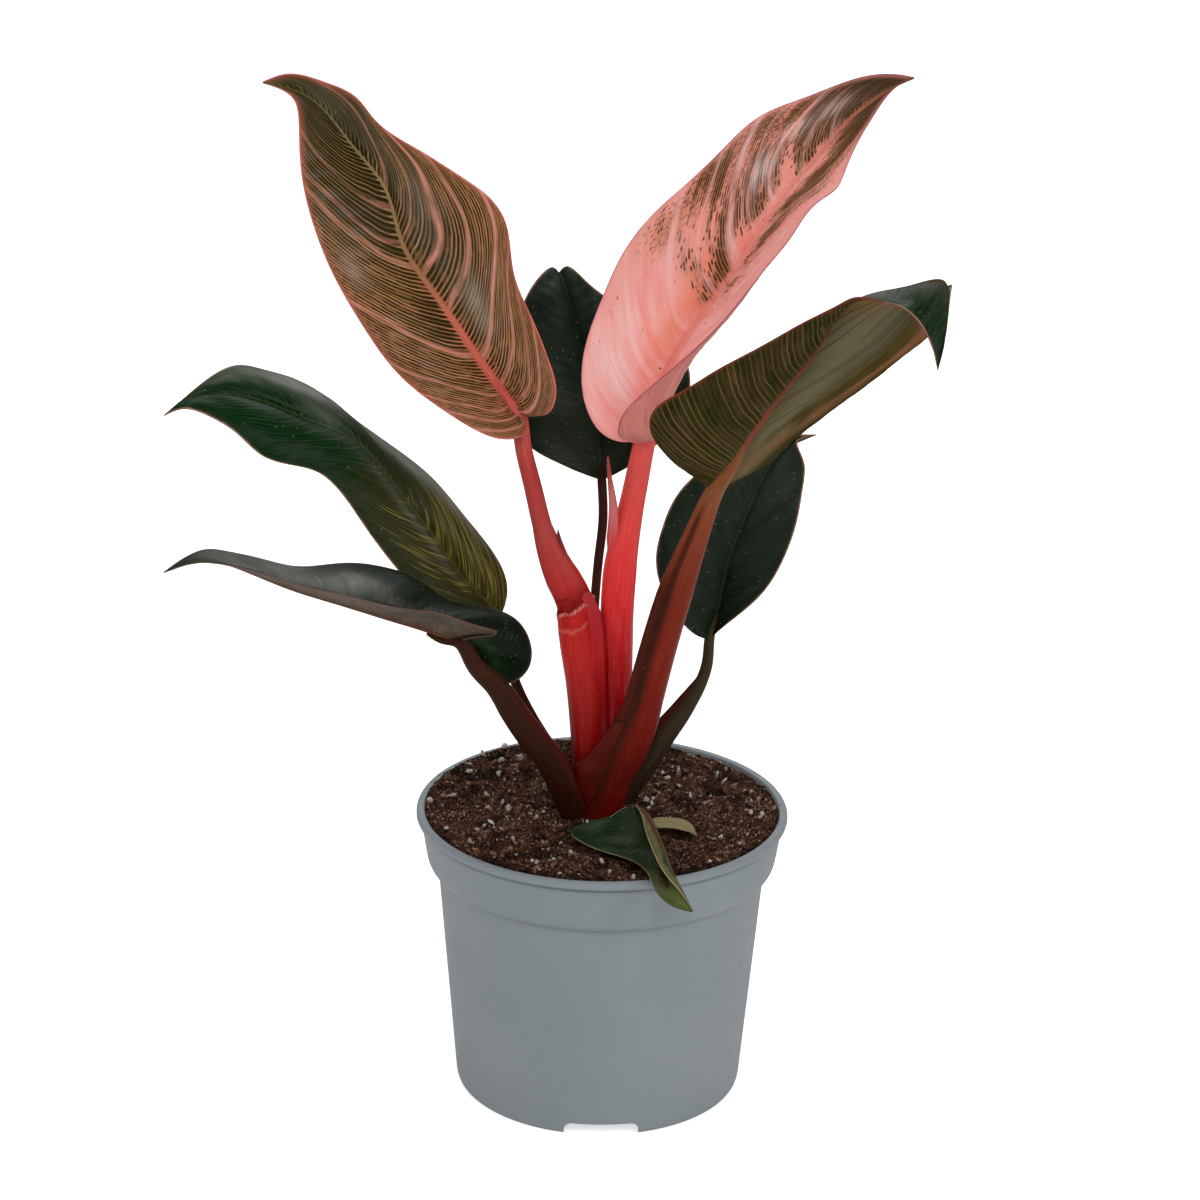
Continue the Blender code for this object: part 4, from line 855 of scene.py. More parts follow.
# dull back leaves, the folded leaf seen from below, and the fallen leaf
dullUpper = dict(
    greenUpper, gloss=(0.42, 0.6, 0.12), flesh=((8, 26, 12), (22, 36, 22)), specks=0.06, speckSize=1100.0,
    speckShow=0.26, veinShow=0.14, ribTones=((0.1, (44, 44, 24)), (0.4, (22, 42, 22)), (1, (16, 36, 18))),
    bloom=(0.5, (84, 92, 82)))
lowUpper = dict(
    greenUpper, veinShow=0.12, flesh=((10, 22, 12), (20, 32, 22)), deep=(0.8, (4, 18, 8)),
    bloom=(0.85, (122, 124, 118)), specks=0.06, speckSize=1100.0, marginTone=(112, 88, 80),
    wash=(0.8, (44, 66, 40)), broad=(150, 3.0, 0.1, 0.1, 0.8, 0.05))
lowUnder = dict(
    greenUnder, flesh=((84, 70, 56), (108, 92, 78)), veinShow=0.2, deep=(0.9, (50, 44, 32)),
    marginTone=(116, 84, 76), gloss=(0.5, 0.64, 0.06))
fallenUpper = dict(
    greenUpper, gloss=(0.3, 0.5, 0.12), flesh=((22, 46, 24), (40, 58, 34)), wash=(0.9, (104, 112, 62)),
    deep=(0.9, (76, 52, 30), (52, 34, 18)), veinShow=0.15, bloom=(0.55, (104, 108, 100)),
    margin=(0.55, 0.8, 1.6, 0.3), marginTone=(150, 140, 108), marginWash=(90, 88, 60), specks=0.05,
    speckSize=900.0)
fallenUnder = dict(
    greenUnder, flesh=((96, 96, 50), (118, 116, 74)), veinShow=0.2, specks=0.03,
    veinTones=((0.1, (140, 148, 90)), (1, (130, 138, 80))), marginTone=(168, 156, 118))
foldedUnder = dict(
    stripedUnder, veinWidth=0.24, veins=62, sway=0.9, dash=(5, 0.4, 0.56, 0.66, 0.4), veinShow=0.7,
    veinTones=((0.1, (140, 114, 76)), (0.6, (128, 104, 76)), (1, (96, 84, 60))), rib=(1.3, 0.6, 0.9),
    ribTones=((0.06, (168, 98, 74)), (0.3, (136, 70, 56)), (0.7, (112, 50, 40)), (1, (86, 62, 44))),
    gloss=(0.5, 0.66, 0.0), tint=(0.8, (146, 98, 68)), bloom=(0.0, (110, 110, 100)),
    # the wash tone here is painted sheen
    deep=(0.75, (86, 78, 26), (66, 60, 12)), flesh=((40, 44, 14), (70, 56, 34)), wash=(0.9, (110, 108, 84)),
    margin=(1.1, 0.9, 2.2, 0.45), marginTone=(140, 68, 58), marginWash=(110, 62, 44))


leafLooks = dict(
    stripedUpper=stripedUpper, stripedUnder=stripedUnder, pinkUpper=pinkUpper, pinkUnder=pinkUnder,
    greenUpper=greenUpper, greenUnder=greenUnder, fadedUpper=fadedUpper, dullUpper=dullUpper, lowUpper=lowUpper,
    lowUnder=lowUnder, fallenUpper=fallenUpper, fallenUnder=fallenUnder, foldedUnder=foldedUnder)
# each leaf's upper and lower look, and its slot
leafDress = dict(
    leaf_1=("stripedUpper", "stripedUnder", "striped_leaf"), leaf_2=("pinkUpper", "pinkUnder", "pink_leaf"),
    leaf_3=("dullUpper", "greenUnder", "green_leaf"), leaf_4=("greenUpper", "foldedUnder", "green_leaf"),
    leaf_5=("dullUpper", "greenUnder", "green_leaf"), leaf_6=("greenUpper", "greenUnder", "green_leaf"),
    leaf_7=("lowUpper", "lowUnder", "green_leaf"), old_leaf=("fallenUpper", "fallenUnder", "green_leaf"),
    leaf_scrap=("fadedUpper", "fadedUpper", "faded_leaf"))


def buildLeaves():
    finishes = {name: bladeMaterial(name, look) for name, look in leafLooks.items()}
    for node, leaf in leafRails.items():
        upper, under, slot = leafDress[node]
        leaf.update(leafTouches.get(node, {}))
        name = node.replace("_", "") + ".blade"
        settle(bladeObject(name, leaf, finishes[upper], finishes[under]), slot, node)
    print("leaves ready")


buildLeaves()


# stalks

# each stalk's centre line from the soil up, with half its width across and through, in millimetres
stalkLines = dict(
    stalk_2=dict(
        line=[
            (0, 4, 80), (1, 4, 94), (3, 4.5, 108), (4, 5.1, 123), (4, 6, 137), (3.6, 6.9, 150),
            (3.7, 7.9, 164), (4.6, 8.9, 177), (6.7, 10.4, 190), (9.1, 12, 203), (12, 14, 218)],
        across=(4.4, 4.8, 4.6, 5.3, 5.4, 4.0, 3.4), through=(4.2, 4.4, 4.6, 4.6, 4.2, 3.4, 3.0)),
    stalk_1=dict(
        line=[
            (-3, 2, 80), (-3.2, 2.3, 104), (-4.7, 3, 124), (-5.9, 3.9, 137.6), (-8, 4.9, 151),
            (-10.3, 6.8, 163.8), (-14, 8, 171), (-19.3, 10.5, 182.7), (-24.4, 14.2, 201.5), (-27.4, 16.5, 214),
            (-29, 18, 223)],
        across=(5.4, 6.0, 6.2, 6.4, 6.3, 5.7, 3.1, 2.8, 2.6),
        through=(4.5, 4.8, 5.0, 5.2, 4.8, 4.2, 3.0, 2.7, 2.5)),
    stalk_3=dict(
        line=[
            (-2, 8, 80), (-3, 11, 104), (-4, 17, 140), (-3.4, 22, 161), (-2.4, 26, 173), (-1.4, 30, 184),
            (-2, 34, 195)],
        across=(2.4, 2.2, 1.8, 1.5, 1.5, 1.5), through=(2.4, 2.2, 1.8, 1.5, 1.5, 1.5)),
    stalk_4=dict(
        line=[
            (-1, -3, 80), (0.9, -4.6, 97), (2.6, -6.4, 107.3), (5, -7.9, 115), (7.9, -9.4, 122.5),
            (10.7, -10.8, 130), (14.2, -13.8, 145), (17.4, -16.7, 160), (21, -19.5, 175), (25, -22.3, 189),
            (29.2, -25.4, 203), (33, -28, 214)],
        across=(5.0, 6.0, 7.8, 6.0, 5.8, 5.6, 4.2, 2.8), through=(4.4, 5.2, 5.4, 4.8, 4.4, 4.0, 3.2, 2.6)),
    stalk_6=dict(
        line=[
            (-5, 7, 80), (-9, 11, 96), (-16, 15, 107), (-24, 17, 120), (-29, 18, 131), (-32, 18, 144),
            (-34, 17, 154)],
        across=(2.6, 2.6, 2.4, 2.0, 1.7, 1.5, 1.4), through=(2.6, 2.6, 2.4, 2.0, 1.7, 1.5, 1.4)),
    stalk_5=dict(
        line=[
            (4, 5, 80), (7, 7.5, 94), (11.5, 10.5, 101), (15.6, 13.4, 106.3), (19.5, 16.8, 112),
            (24.1, 20.3, 117.5), (28.4, 23.4, 123.5), (32, 26, 130), (33.6, 28, 136), (34, 30, 142)],
        across=(3.0, 3.2, 3.4, 3.4, 2.8, 2.0, 1.7), through=(3.0, 3.0, 3.0, 2.6, 2.2, 2.0, 1.7)),
    stalk_7=dict(
        line=[
            (-6, -3, 80), (-8.9, -4, 95.5), (-11.8, -4.5, 103), (-16, -5.4, 112), (-23.3, -7, 122.5),
            (-30, -8.6, 133.4), (-35, -9.5, 141), (-41.2, -9.7, 147.6), (-47, -8, 155)],
        across=(4.4, 5.0, 5.1, 4.7, 4.4, 3.2, 2.2), through=(4.2, 4.6, 4.6, 4.2, 3.4, 2.7, 2.2)))
# the rolled new leaf
spikeLine = dict(
    line=[(1.4, 8, 175.5), (1.8, 7, 187.7), (1.7, 6.5, 196.3), (0.6, 6, 204.8), (-0.2, 6, 212.4)],
    across=(0.8, 1.9, 1.5, 0.9, 0.35), through=(0.8, 1.6, 1.3, 0.8, 0.35))

wingScar = 99.0  # a distance from the scar at which nothing of it shows
# a skin: its rings and the points in each, more rings at a scar, where and how far under its leaf's midrib it
# runs on, how much slimmer it gets there, and its faint ridges
stalkMake = dict(rings=84, sides=30, extraRings=40, underRib=(11, 17), underDrop=1.3, slimming=0.72,
                 ridge=0.012)


def stalkGrid(stalk, leaf):
    # rings of points up the stalk; a stalk that carries a leaf runs on under its midrib
    line = list(stalk["line"])
    reach = len(line)
    if leaf:
        rows = bladeRows(leaf, np.linspace(blade["start"], blade["end"], 60), (0, 0.1))
        drop = upperNormals(rows)[:, 1] * leaf.get("face", -1) * stalkMake["underDrop"]
        line += [tuple(rows[row, 1] - drop[row]) for row in stalkMake["underRib"]]
    steps = np.linalg.norm(np.diff(np.array(line, float), axis=0), axis=1)
    place = np.concatenate([[0.0], np.cumsum(steps)])
    total = place[-1]
    joint = place[reach - 1] / total
    share = np.linspace(0, 1, stalkMake["rings"])
    if "scar" in stalk:
        middle = stalk["scar"][2]
        extra = np.linspace(middle - 0.05, middle + 0.05, stalkMake["extraRings"])
        share = np.sort(np.concatenate([share, extra]))
    centre = curveThrough(line, share)
    way = unit(np.gradient(centre, axis=0))
    across = unit(np.cross(way, (0.0, 1.0, 0.0)))
    through = np.cross(way, across)
    body = np.clip(share / joint, 0, 1)
    tail = 1 - np.clip((share - joint) / max(1 - joint, 1e-6), 0, 1) * stalkMake["slimming"]
    wide, deep = ((keyed(stalk[key], body) * tail)[:, None, None] for key in ("across", "through"))
    turn = np.linspace(0, 2 * math.pi, stalkMake["sides"], endpoint=False)
    cosine, sine = np.cos(turn)[None, :, None], np.sin(turn)[None, :, None]
    ridges = 1 + stalkMake["ridge"] * np.sin(turn * 7 + 1.0)[None, :, None] * np.sin(share * 9)[:, None, None]
    offset = across[:, None] * wide * cosine + through[:, None] * deep * sine
    return centre[:, None] + offset * ridges, share, turn, total, unit(offset)


def tubeObject(name, spots, material, layers):
    # a closed skin over rings of points
    rings, sides = spots.shape[:2]
    index = np.arange(rings * sides).reshape(rings, sides)
    nextOne = np.roll(index, -1, axis=1)
    faces = np.stack([index[:-1], nextOne[:-1], nextOne[1:], index[1:]], axis=-1).reshape(-1, 4).tolist()
    ends = [spots[0].mean(axis=0), spots[-1].mean(axis=0)]
    base = rings * sides
    for ring, tip in ((0, base), (rings - 1, base + 1)):
        faces += [(int(index[ring, k]), int(index[ring, (k + 1) % sides]), tip) for k in range(sides)]
    mesh = bpy.data.meshes.new(name)
    mesh.from_pydata(np.concatenate([spots.reshape(-1, 3), ends]).tolist(), [], faces)
    mesh.transform(Matrix.Scale(mm, 4))
    mesh.materials.append(material)
    for label, values in layers.items():
        flat = np.concatenate([values.reshape(base, -1), values[[0, -1], 0].reshape(2, -1)])
        kind, member = ("FLOAT_VECTOR", "vector") if flat.shape[1] == 3 else ("FLOAT", "value")
        layer = mesh.attributes.new(label, kind, "POINT")
        layer.data.foreach_set(member, flat.reshape(-1).astype(np.float32))
    outward(mesh)
    return newObject(name, mesh)


def stalkObject(name, stalk, leaf, material):
    spots, share, turn, total, out = stalkGrid(stalk, leaf)
    scarred = np.zeros(spots.shape[:2])
    if "scar" in stalk:
        # the cut edge of an older sheath: a slanted step that goes round the stalk
        point, slope, _ = stalk["scar"]
        away = (spots - np.array(point)) @ unit(np.array(slope))
        away = away + 0.35 * np.sin(turn * 5 + 1)[None] + 0.2 * np.sin(turn * 11)[None]
        step = np.clip(0.5 - away / 0.7, 0, 1)
        step = step * step * (3 - 2 * step) * np.clip((away + 34) / 30, 0, 1)
        lip = np.exp(-((away + 0.4) / 0.5) ** 2)
        lower = away + 4.2 + 1.8 * np.sin(turn)[None]
        second = np.exp(-(lower / 0.6) ** 2) * 0.5
        spots = spots + out * (step * 0.5 + lip * 0.35 + second * 0.45)[..., None]
        scarred = np.where(away < -2.2, np.clip(lower, -2, 0.6) - 20, away)
    hollow = np.zeros(spots.shape[:2])
    if "groove" in stalk:
        # a shallow channel up one side
        aim, first, last, depth = stalk["groove"]
        angleOff = (turn - aim + math.pi) % (2 * math.pi) - math.pi
        along = np.clip((share - first) / 0.08, 0, 1) * np.clip((last - share) / 0.08, 0, 1)
        hollow = along[:, None] * np.exp(-(angleOff / 0.3) ** 2)[None]
        spots = spots - out * hollow[..., None] * depth
    angle = np.broadcast_to(turn[None], spots.shape[:2])
    run = np.broadcast_to((share * total)[:, None], spots.shape[:2])
    around = np.stack([np.cos(angle) * 5, np.sin(angle) * 5, run * 0.06], axis=-1)
    layers = dict(round=around, lift=spots[..., 2].copy(), scar=scarred, hollow=hollow)
    return tubeObject(name, spots, material, layers)


def wingObject(name, wing, material):
    # a sheath wing: a thin bulging sheet between its free edge and the stalk it grows from
    run = np.linspace(0, 1, 40)
    free, held = curveThrough(wing["free"], run), curveThrough(wing["held"], run)
    side = unit(np.cross(held - free, np.gradient(free, axis=0)))
    side = side * np.where((side @ np.array((0.0, -1.0, 0.0)) < 0)[:, None], -1, 1)
    shares = np.linspace(0, 1, 9)
    sheet = free[:, None] * (1 - shares)[None, :, None] + held[:, None] * shares[None, :, None]
    sheet = sheet + side[:, None] * (np.sin(shares * math.pi) * wing["bulge"])[None, :, None]
    half = side[:, None] * (wing["thick"] * np.interp(shares, (0, 0.3, 1), (0.25, 1, 1)))[None, :, None] / 2
    ring = np.concatenate([sheet + half, (sheet - half)[:, ::-1]], axis=1)
    size = ring.shape[:2]
    angle = np.broadcast_to(np.linspace(0, 3, size[1])[None], size)
    around = np.stack([angle, angle * 0, np.broadcast_to(run[:, None] * 3, size)], axis=-1)
    layers = dict(round=around, lift=ring[..., 2].copy(), scar=np.full(size, wingScar), hollow=np.zeros(size))
    return tubeObject(name, ring, material, layers)


def stalkMaterial(name, look):
    made, tree, shader = newMaterial(name, look["tones"][0][1], look["gloss"][0])
    lift, scar, hollow = attribute(tree, "lift"), attribute(tree, "scar"), attribute(tree, "hollow")
    around = attribute(tree, "round", "Vector")
    place = ownPlace(tree)
    # the ramp of tones runs over 150 mm from 80 mm above the ground, a little unevenly
    height = plus(lift, between(cloudy(around, 0.7, 2), 0.2, 0.8, -5, 5))
    foot, span = 80.0, 150.0
    height = calc("DIVIDE", minus(height, foot), span)
    colour = ramp(height, [((z - foot) / span, c) for z, c in look["tones"]])
    fibre = cloudy(around, 1.6, 4, 0.6)
    colour = blend(between(fibre, 0.5, 0.75, 0, look["streaks"]), colour, look["streakTone"])
    colour = blend(between(fibre, 0.5, 0.28, 0, look["streaks"]), colour, look["shadeTone"])
    # painted shade in the channel up the stalk's side
    colour = blend(times(between(hollow, 0.1, 0.8), 0.75), colour, look["shadeTone"])
    if "side" in look:
        # painted shading: one side of the stalk takes another tone between two heights
        first, full, low, high, sideShadingTone, strength = look["side"]
        turned = between(apart(around)[0], first, full)
        level = times(between(lift, low - 12, low), between(lift, high + 12, high))
        patchy = between(cloudy(scaled(around, (0.9, 0.9, 1.2), (2, 1, 0)), 1.0, 2), 0.3, 0.6, 0.7, 1)
        colour = blend(times(turned, level, times(patchy, strength)), colour, sideShadingTone)
    if "scar" in look:
        # painted shade: a dark red band just above the scar's lip
        above = times(between(scar, 9.0, 0.4), between(scar, -0.5, 0.4))
        colour = blend(times(above, 0.85), colour, (124, 0, 4))
        edge = times(between(scar, -1.3, -0.5), between(scar, 0.45, 0.0))
        frayed = between(cloudy(scaled(around, (2.4, 2.4, 5)), 2.2, 3), 0.42, 0.62)
        colour = blend(times(edge, frayed), colour, (222, 150, 138))
        under = times(between(scar, -20.7, -20.1), between(scar, -19.45, -19.9))
        colour = blend(times(under, between(frayed, 0, 1, 0.25, 0.6)), colour, (226, 120, 112))
    specks = useGroup(tree, speckleGroup, {"Vector": place, "Scale": 650.0, "Amount": 0.05})
    colour = blend(times(specks["Mask"], 0.25), colour, look["streakTone"])
    fill(shader.inputs["Base Color"], colour)
    fill(shader.inputs["Roughness"], between(fibre, 0.3, 0.7, look["gloss"][0], look["gloss"][1]))
    shader.inputs["Specular IOR Level"].default_value = look["gloss"][2]
    bump(shader, plus(times(fibre, 0.25), times(cloudy(place, 700, 2), 0.05)), 0.001, 0.6)
    return made


# tones: height in mm, colour; streaks: strength; side, painted shading on one side: where round the stalk it
# starts and is full, lowest and highest mm, tone, strength; gloss: roughness low and high, specular level
stalkLooks = dict(
    red=dict(
        tones=(
            (84, (92, 4, 4)), (100, (118, 4, 4)), (122, (152, 12, 10)), (150, (206, 40, 36)),
            (160, (192, 30, 32)), (185, (188, 74, 68)), (205, (188, 68, 66)), (216, (208, 92, 86))),
        streaks=0.22, streakTone=(226, 84, 70), shadeTone=(120, 8, 10), gloss=(0.26, 0.36, 0.13), scar=True),
    salmon=dict(
        tones=(
            (84, (90, 0, 2)), (110, (118, 0, 4)), (135, (154, 0, 8)), (165, (224, 44, 48)),
            (190, (236, 76, 72)), (215, (240, 96, 90))),
        streaks=0.2, streakTone=(244, 120, 108), shadeTone=(160, 14, 18), gloss=(0.24, 0.34, 0.14)),
    rust=dict(
        tones=(
            (84, (92, 8, 2)), (98, (104, 10, 6)), (110, (94, 20, 14)), (124, (112, 26, 18)),
            (150, (124, 32, 18)), (180, (120, 44, 26)), (203, (132, 64, 40)), (213, (132, 80, 48))),
        side=(-0.6, 2.2, 104, 176, (58, 24, 14), 0.85), streaks=0.25, streakTone=(160, 70, 46),
        shadeTone=(48, 18, 12), gloss=(0.32, 0.46, 0.06)),
    brown=dict(
        tones=(
            (84, (34, 8, 2)), (100, (44, 16, 6)), (125, (52, 28, 14)), (160, (62, 34, 22)),
            (200, (56, 26, 20))),
        side=(-2.6, -4.2, 96, 132, (84, 26, 26), 0.7), streaks=0.22, streakTone=(90, 54, 38),
        shadeTone=(30, 10, 4), gloss=(0.34, 0.5, 0.06)),
    olive=dict(
        tones=((84, (34, 18, 8)), (105, (48, 32, 18)), (122, (62, 52, 34)), (145, (64, 58, 38))), streaks=0.25,
        streakTone=(96, 84, 62), shadeTone=(34, 20, 10), gloss=(0.34, 0.5, 0.06)),
    sheath=dict(
        tones=(
            (112, (140, 10, 10)), (132, (166, 12, 14)), (150, (196, 34, 38)), (160, (190, 48, 56)),
            (168, (184, 56, 58)), (178, (160, 60, 60)), (187, (92, 52, 58))),
        streaks=0.2, streakTone=(206, 90, 96), shadeTone=(120, 14, 18), gloss=(0.34, 0.46, 0.08)),
    dusky=dict(
        tones=((100, (52, 18, 12)), (130, (74, 28, 22))), streaks=0.2, streakTone=(110, 50, 40),
        shadeTone=(44, 12, 8), gloss=(0.34, 0.46, 0.06)),
    spike=dict(
        tones=(
            (140, (214, 30, 36)), (178, (220, 50, 56)), (186, (218, 78, 80)), (193, (216, 116, 116)),
            (200, (214, 120, 118)), (206, (176, 70, 70))),
        streaks=0.2, streakTone=(236, 170, 168), shadeTone=(150, 70, 76), gloss=(0.34, 0.46, 0.08)))
stalkLooks["mossy"] = dict(stalkLooks["brown"], tones=(
    (84, (34, 8, 2)), (100, (44, 16, 6)), (125, (52, 28, 14)), (140, (58, 36, 18)), (149, (74, 66, 30))))
# sheath wings in millimetres: the free edge, and the line where the sheath leaves its stalk
wings = dict(
    stalk1=dict(
        free=(
            (-15.6, 9, 187), (-14.6, 9, 184), (-12.3, 8.6, 178.4), (-9.4, 7.6, 172.4), (-5.8, 6, 167.3),
            (-2.8, 4.6, 163.8), (-1.1, 3.6, 158.4), (0, 2.8, 150.2), (0.5, 1.8, 138.5), (0.7, 1, 126.8),
            (0, 0.4, 114.8)),
        held=(
            (-14.6, 10, 182.6), (-14.3, 9, 180.6), (-13.2, 7.2, 176.5), (-11.2, 5.6, 171.7),
            (-8.9, 4.2, 167.6), (-6.6, 2.6, 163.4), (-5.2, 1.2, 158.6), (-4.5, 0.3, 151.1), (-4, -0.6, 139.4),
            (-3.5, -1.2, 127.6), (-2.9, -1.8, 115.7)),
        bulge=0.5, thick=0.7, look="sheath"),
    stalk4=dict(
        free=(
            (2.7, -11, 128), (-1.1, -8.5, 122), (-5.1, -6.5, 115.9), (-8.6, -5.2, 111.4), (-9.2, -4.6, 105.6),
            (-7.2, -4.2, 99.9), (-3.9, -4, 94.9)),
        held=(
            (7.1, -15.2, 131.2), (5, -14.4, 125.3), (3.1, -13.5, 120.1), (1.6, -12.3, 115.4),
            (1.1, -11, 109.2), (1.2, -9.8, 103.2), (1.3, -9, 97.2)),
        bulge=1.2, thick=0.8, look="rust"),
    stalk5=dict(
        free=(
            (29.8, 25, 130.5), (26.7, 24, 127), (23.5, 22.6, 123.6), (20.3, 21, 120.3), (17.4, 19.2, 117.5),
            (15.2, 17, 114.1)),
        held=(
            (30.9, 23.4, 127), (28.3, 21.4, 123.5), (25.5, 19.6, 120.3), (22.2, 17.8, 117.5), (19, 16, 114.6),
            (16.2, 14.4, 111.4)),
        bulge=-0.4, thick=0.7, look="dusky"))
stalkDress = dict(
    stalk_1=("red", "red_stalk"), stalk_2=("salmon", "red_stalk"), stalk_3=("brown", "brown_stalk"),
    stalk_4=("rust", "red_stalk"), stalk_5=("olive", "brown_stalk"), stalk_6=("mossy", "brown_stalk"),
    stalk_7=("brown", "brown_stalk"))
stalkLines["stalk_1"]["scar"] = ((-9.6, 1, 162.2), (-0.52, 0.0, 1.0), 0.545)
stalkLines["stalk_4"]["groove"] = (0.98, 0.3, 0.86, 0.7)


def buildStalks():
    finishes = {key: stalkMaterial(key + "Stalk", look) for key, look in stalkLooks.items()}
    for node, stalk in stalkLines.items():
        look, slot = stalkDress[node]
        leaf = leafRails[node.replace("stalk", "leaf")]
        settle(stalkObject(node.replace("_", "") + ".skin", stalk, leaf, finishes[look]), slot, node)
    for name, wing in wings.items():
        slot = "brown_stalk" if name == "stalk5" else "red_stalk"
        settle(wingObject(name + ".wing", wing, finishes[wing["look"]]), slot)
    spike = stalkObject("newleaf.spike", spikeLine, None, finishes["spike"])
    settle(spike, "red_stalk", "new_leaf")
    print("stalks ready")


buildStalks()


# soil, its crumbs, perlite and fibres

# sizes in millimetres, and the points round each ring
# the fill is banked up against the wall, and least at the back right, where leastBank points
soilMake = dict(
    edge=91.6, mound=1.9, radius=57.2, around=150, rings=64, lumps=1.3, looseReach=56.6, bank=4.0,
    leastBank=(0.77, 0.64), wall=56,
    inside=((54.2, 79.2), (51.25, 76.0), (45.15, 6.5), (23.7, 6.5), (20.9, 1.9)))


def soilHeight(x, y, clear):
    r = math.hypot(x, y)
    wall = soilMake["wall"]
    crumbs = (0.35 * math.sin(0.41 * x + 0.3 * y) + 0.3 * math.sin(0.23 * x - 0.52 * y + 1.1)
              + 0.25 * math.sin(0.9 * x + 2.0) * math.cos(0.8 * y))
    rise = soilMake["edge"] + soilMake["mound"] * (1 - (r / wall) ** 2) + crumbs * min(1.0, (wall - r) / 6)
    coarse = noise.noise(Vector((x * 0.22, y * 0.22, 3.0)))
    fine = noise.fractal(Vector((x * 0.6, y * 0.6, 9.0)), 0.8, 2.1, 4) * soilMake["lumps"]
    low = max(0.0, (soilMake["leastBank"][0] * x + soilMake["leastBank"][1] * y) / max(r, 1))
    bank = soilMake["bank"] * min(1.0, max(0.0, (r - 34) / 22)) ** 2 * (1 - 0.5 * low * low)
    return rise + bank * clear + (coarse + fine) * min(1.0, (58.4 - r) / 2.4) * clear - 0.5 * (1 - clear)


def soilClear(x, y, covers):
    # 1 in the open, 0 under what lies on the soil
    return min(1.0, max(0.0, (covers.find((x, y, 0))[2] - 1.2) / 2.5))


def soilMeshes(covers):
    # the whole fill, and a copy of its top alone for scattering on
    around, rings = soilMake["around"], soilMake["rings"]

    def circle(r, shift):
        turns = (2 * math.pi * (k + 0.5 * shift) / around for k in range(around))
        return [(r * math.cos(turn), r * math.sin(turn)) for turn in turns]

    def band(low, high):
        return [(low + k, high + k, high + (k + 1) % around, low + (k + 1) % around) for k in range(around)]

    def meshFrom(name, spots, faces):
        mesh = bpy.data.meshes.new(name)
        mesh.from_pydata([tuple(c * mm for c in spot) for spot in spots], [], faces)
        outward(mesh)
        return mesh

    flat = [(0.0, 0.0)]
    for i in range(1, rings + 1):
        flat += circle(soilMake["radius"] * i / rings, i % 2)
    spots = [(x, y, soilHeight(x, y, soilClear(x, y, covers))) for x, y in flat]
    faces = [(0, 1 + k, 1 + (k + 1) % around) for k in range(around)]
    for i in range(rings - 1):
        faces += band(1 + i * around, 1 + (i + 1) * around)
    top = meshFrom("soilTop", spots, faces)
    # loose bits keep off the pot's wall and off the fallen leaf
    loose = bmesh.new()
    loose.from_mesh(top)
    middles = [(face, face.calc_center_median() / mm) for face in loose.faces]
    bare = [face for face, c in middles
            if math.hypot(c.x, c.y) > soilMake["looseReach"] or soilClear(c.x, c.y, covers) < 0.75]
    bmesh.ops.delete(loose, geom=bare, context="FACES")
    loose.to_mesh(top)
    loose.free()
    for r, z in soilMake["inside"]:
        faces += band(len(spots) - around, len(spots))
        spots += [(x, y, z) for x, y in circle(r, rings % 2)]
    faces.append(tuple(range(len(spots) - around, len(spots))))
    return top, meshFrom("soilBody", spots, faces)


def soilMaterial(name, dark, mid, light, grain, useShade, shadePatchStrength=0.7):
    made, tree, shader = newMaterial(name, mid, 0.92)
    place = ownPlace(tree)
    lumps = cloudy(place, grain, 5, 0.65)
    colour = ramp(lumps, [(0.34, dark), (0.5, mid), (0.64, light)])
    if useShade:
        shade = attribute(tree, "shade")
        colour = blend(between(shade, 0.0, 0.8, 0.9, 0), colour, dark)
        colour = blend(between(shade, 0.86, 1.0, 0, 0.8), colour, light)
    # painted shade: darker patches a few millimetres across, like shadows between clumps
    shadePatch = between(cloudy(place, 130, 3, 0.6), 0.52, 0.4, 0, shadePatchStrength)
    colour = blend(shadePatch, colour, dark)
    fill(shader.inputs["Base Color"], colour)
    fill(shader.inputs["Roughness"], between(lumps, 0.2, 0.8, 0.98, 0.8))
    shader.inputs["Specular IOR Level"].default_value = 0.1
    bump(shader, lumps, 0.0015, 0.9)
    return made


def scatterShape(tree, shapeKind):
    if shapeKind == "fibre":
        path = put(tree, "GeometryNodeCurveQuadraticBezier", {
            "Resolution": 5, "Start": (-0.5, 0, 0), "Middle": (0.05, 0.28, 0.16), "End": (0.5, 0.02, -0.05)})
        ring = put(tree, "GeometryNodeCurvePrimitiveCircle", {"Resolution": 4, "Radius": 0.018})
        return put(tree, "GeometryNodeCurveToMesh",
                   {"Curve": path.outputs[0], "Profile Curve": ring.outputs[0], "Fill Caps": True}).outputs[0]
    if shapeKind == "lump":
        finer, push = 2, 0.9
        rough = put(tree, "ShaderNodeTexNoise", {"Scale": 2.3, "Detail": 2.0})
    else:
        finer, push = 1, 0.45
        place = put(tree, "GeometryNodeInputPosition").outputs[0]
        rough = put(tree, "ShaderNodeTexWhiteNoise", {"Vector": place}, noise_dimensions="3D")
    ball = put(tree, "GeometryNodeMeshIcoSphere", {"Radius": 0.5, "Subdivisions": finer}).outputs["Mesh"]
    offset = put(tree, "ShaderNodeVectorMath", {0: rough.outputs["Color"], 1: (0.5, 0.5, 0.5)},
                 operation="SUBTRACT")
    offset = put(tree, "ShaderNodeVectorMath", {0: offset.outputs[0], "Scale": push}, operation="SCALE")
    return put(tree, "GeometryNodeSetPosition", {"Geometry": ball, "Offset": offset.outputs[0]}).outputs[0]


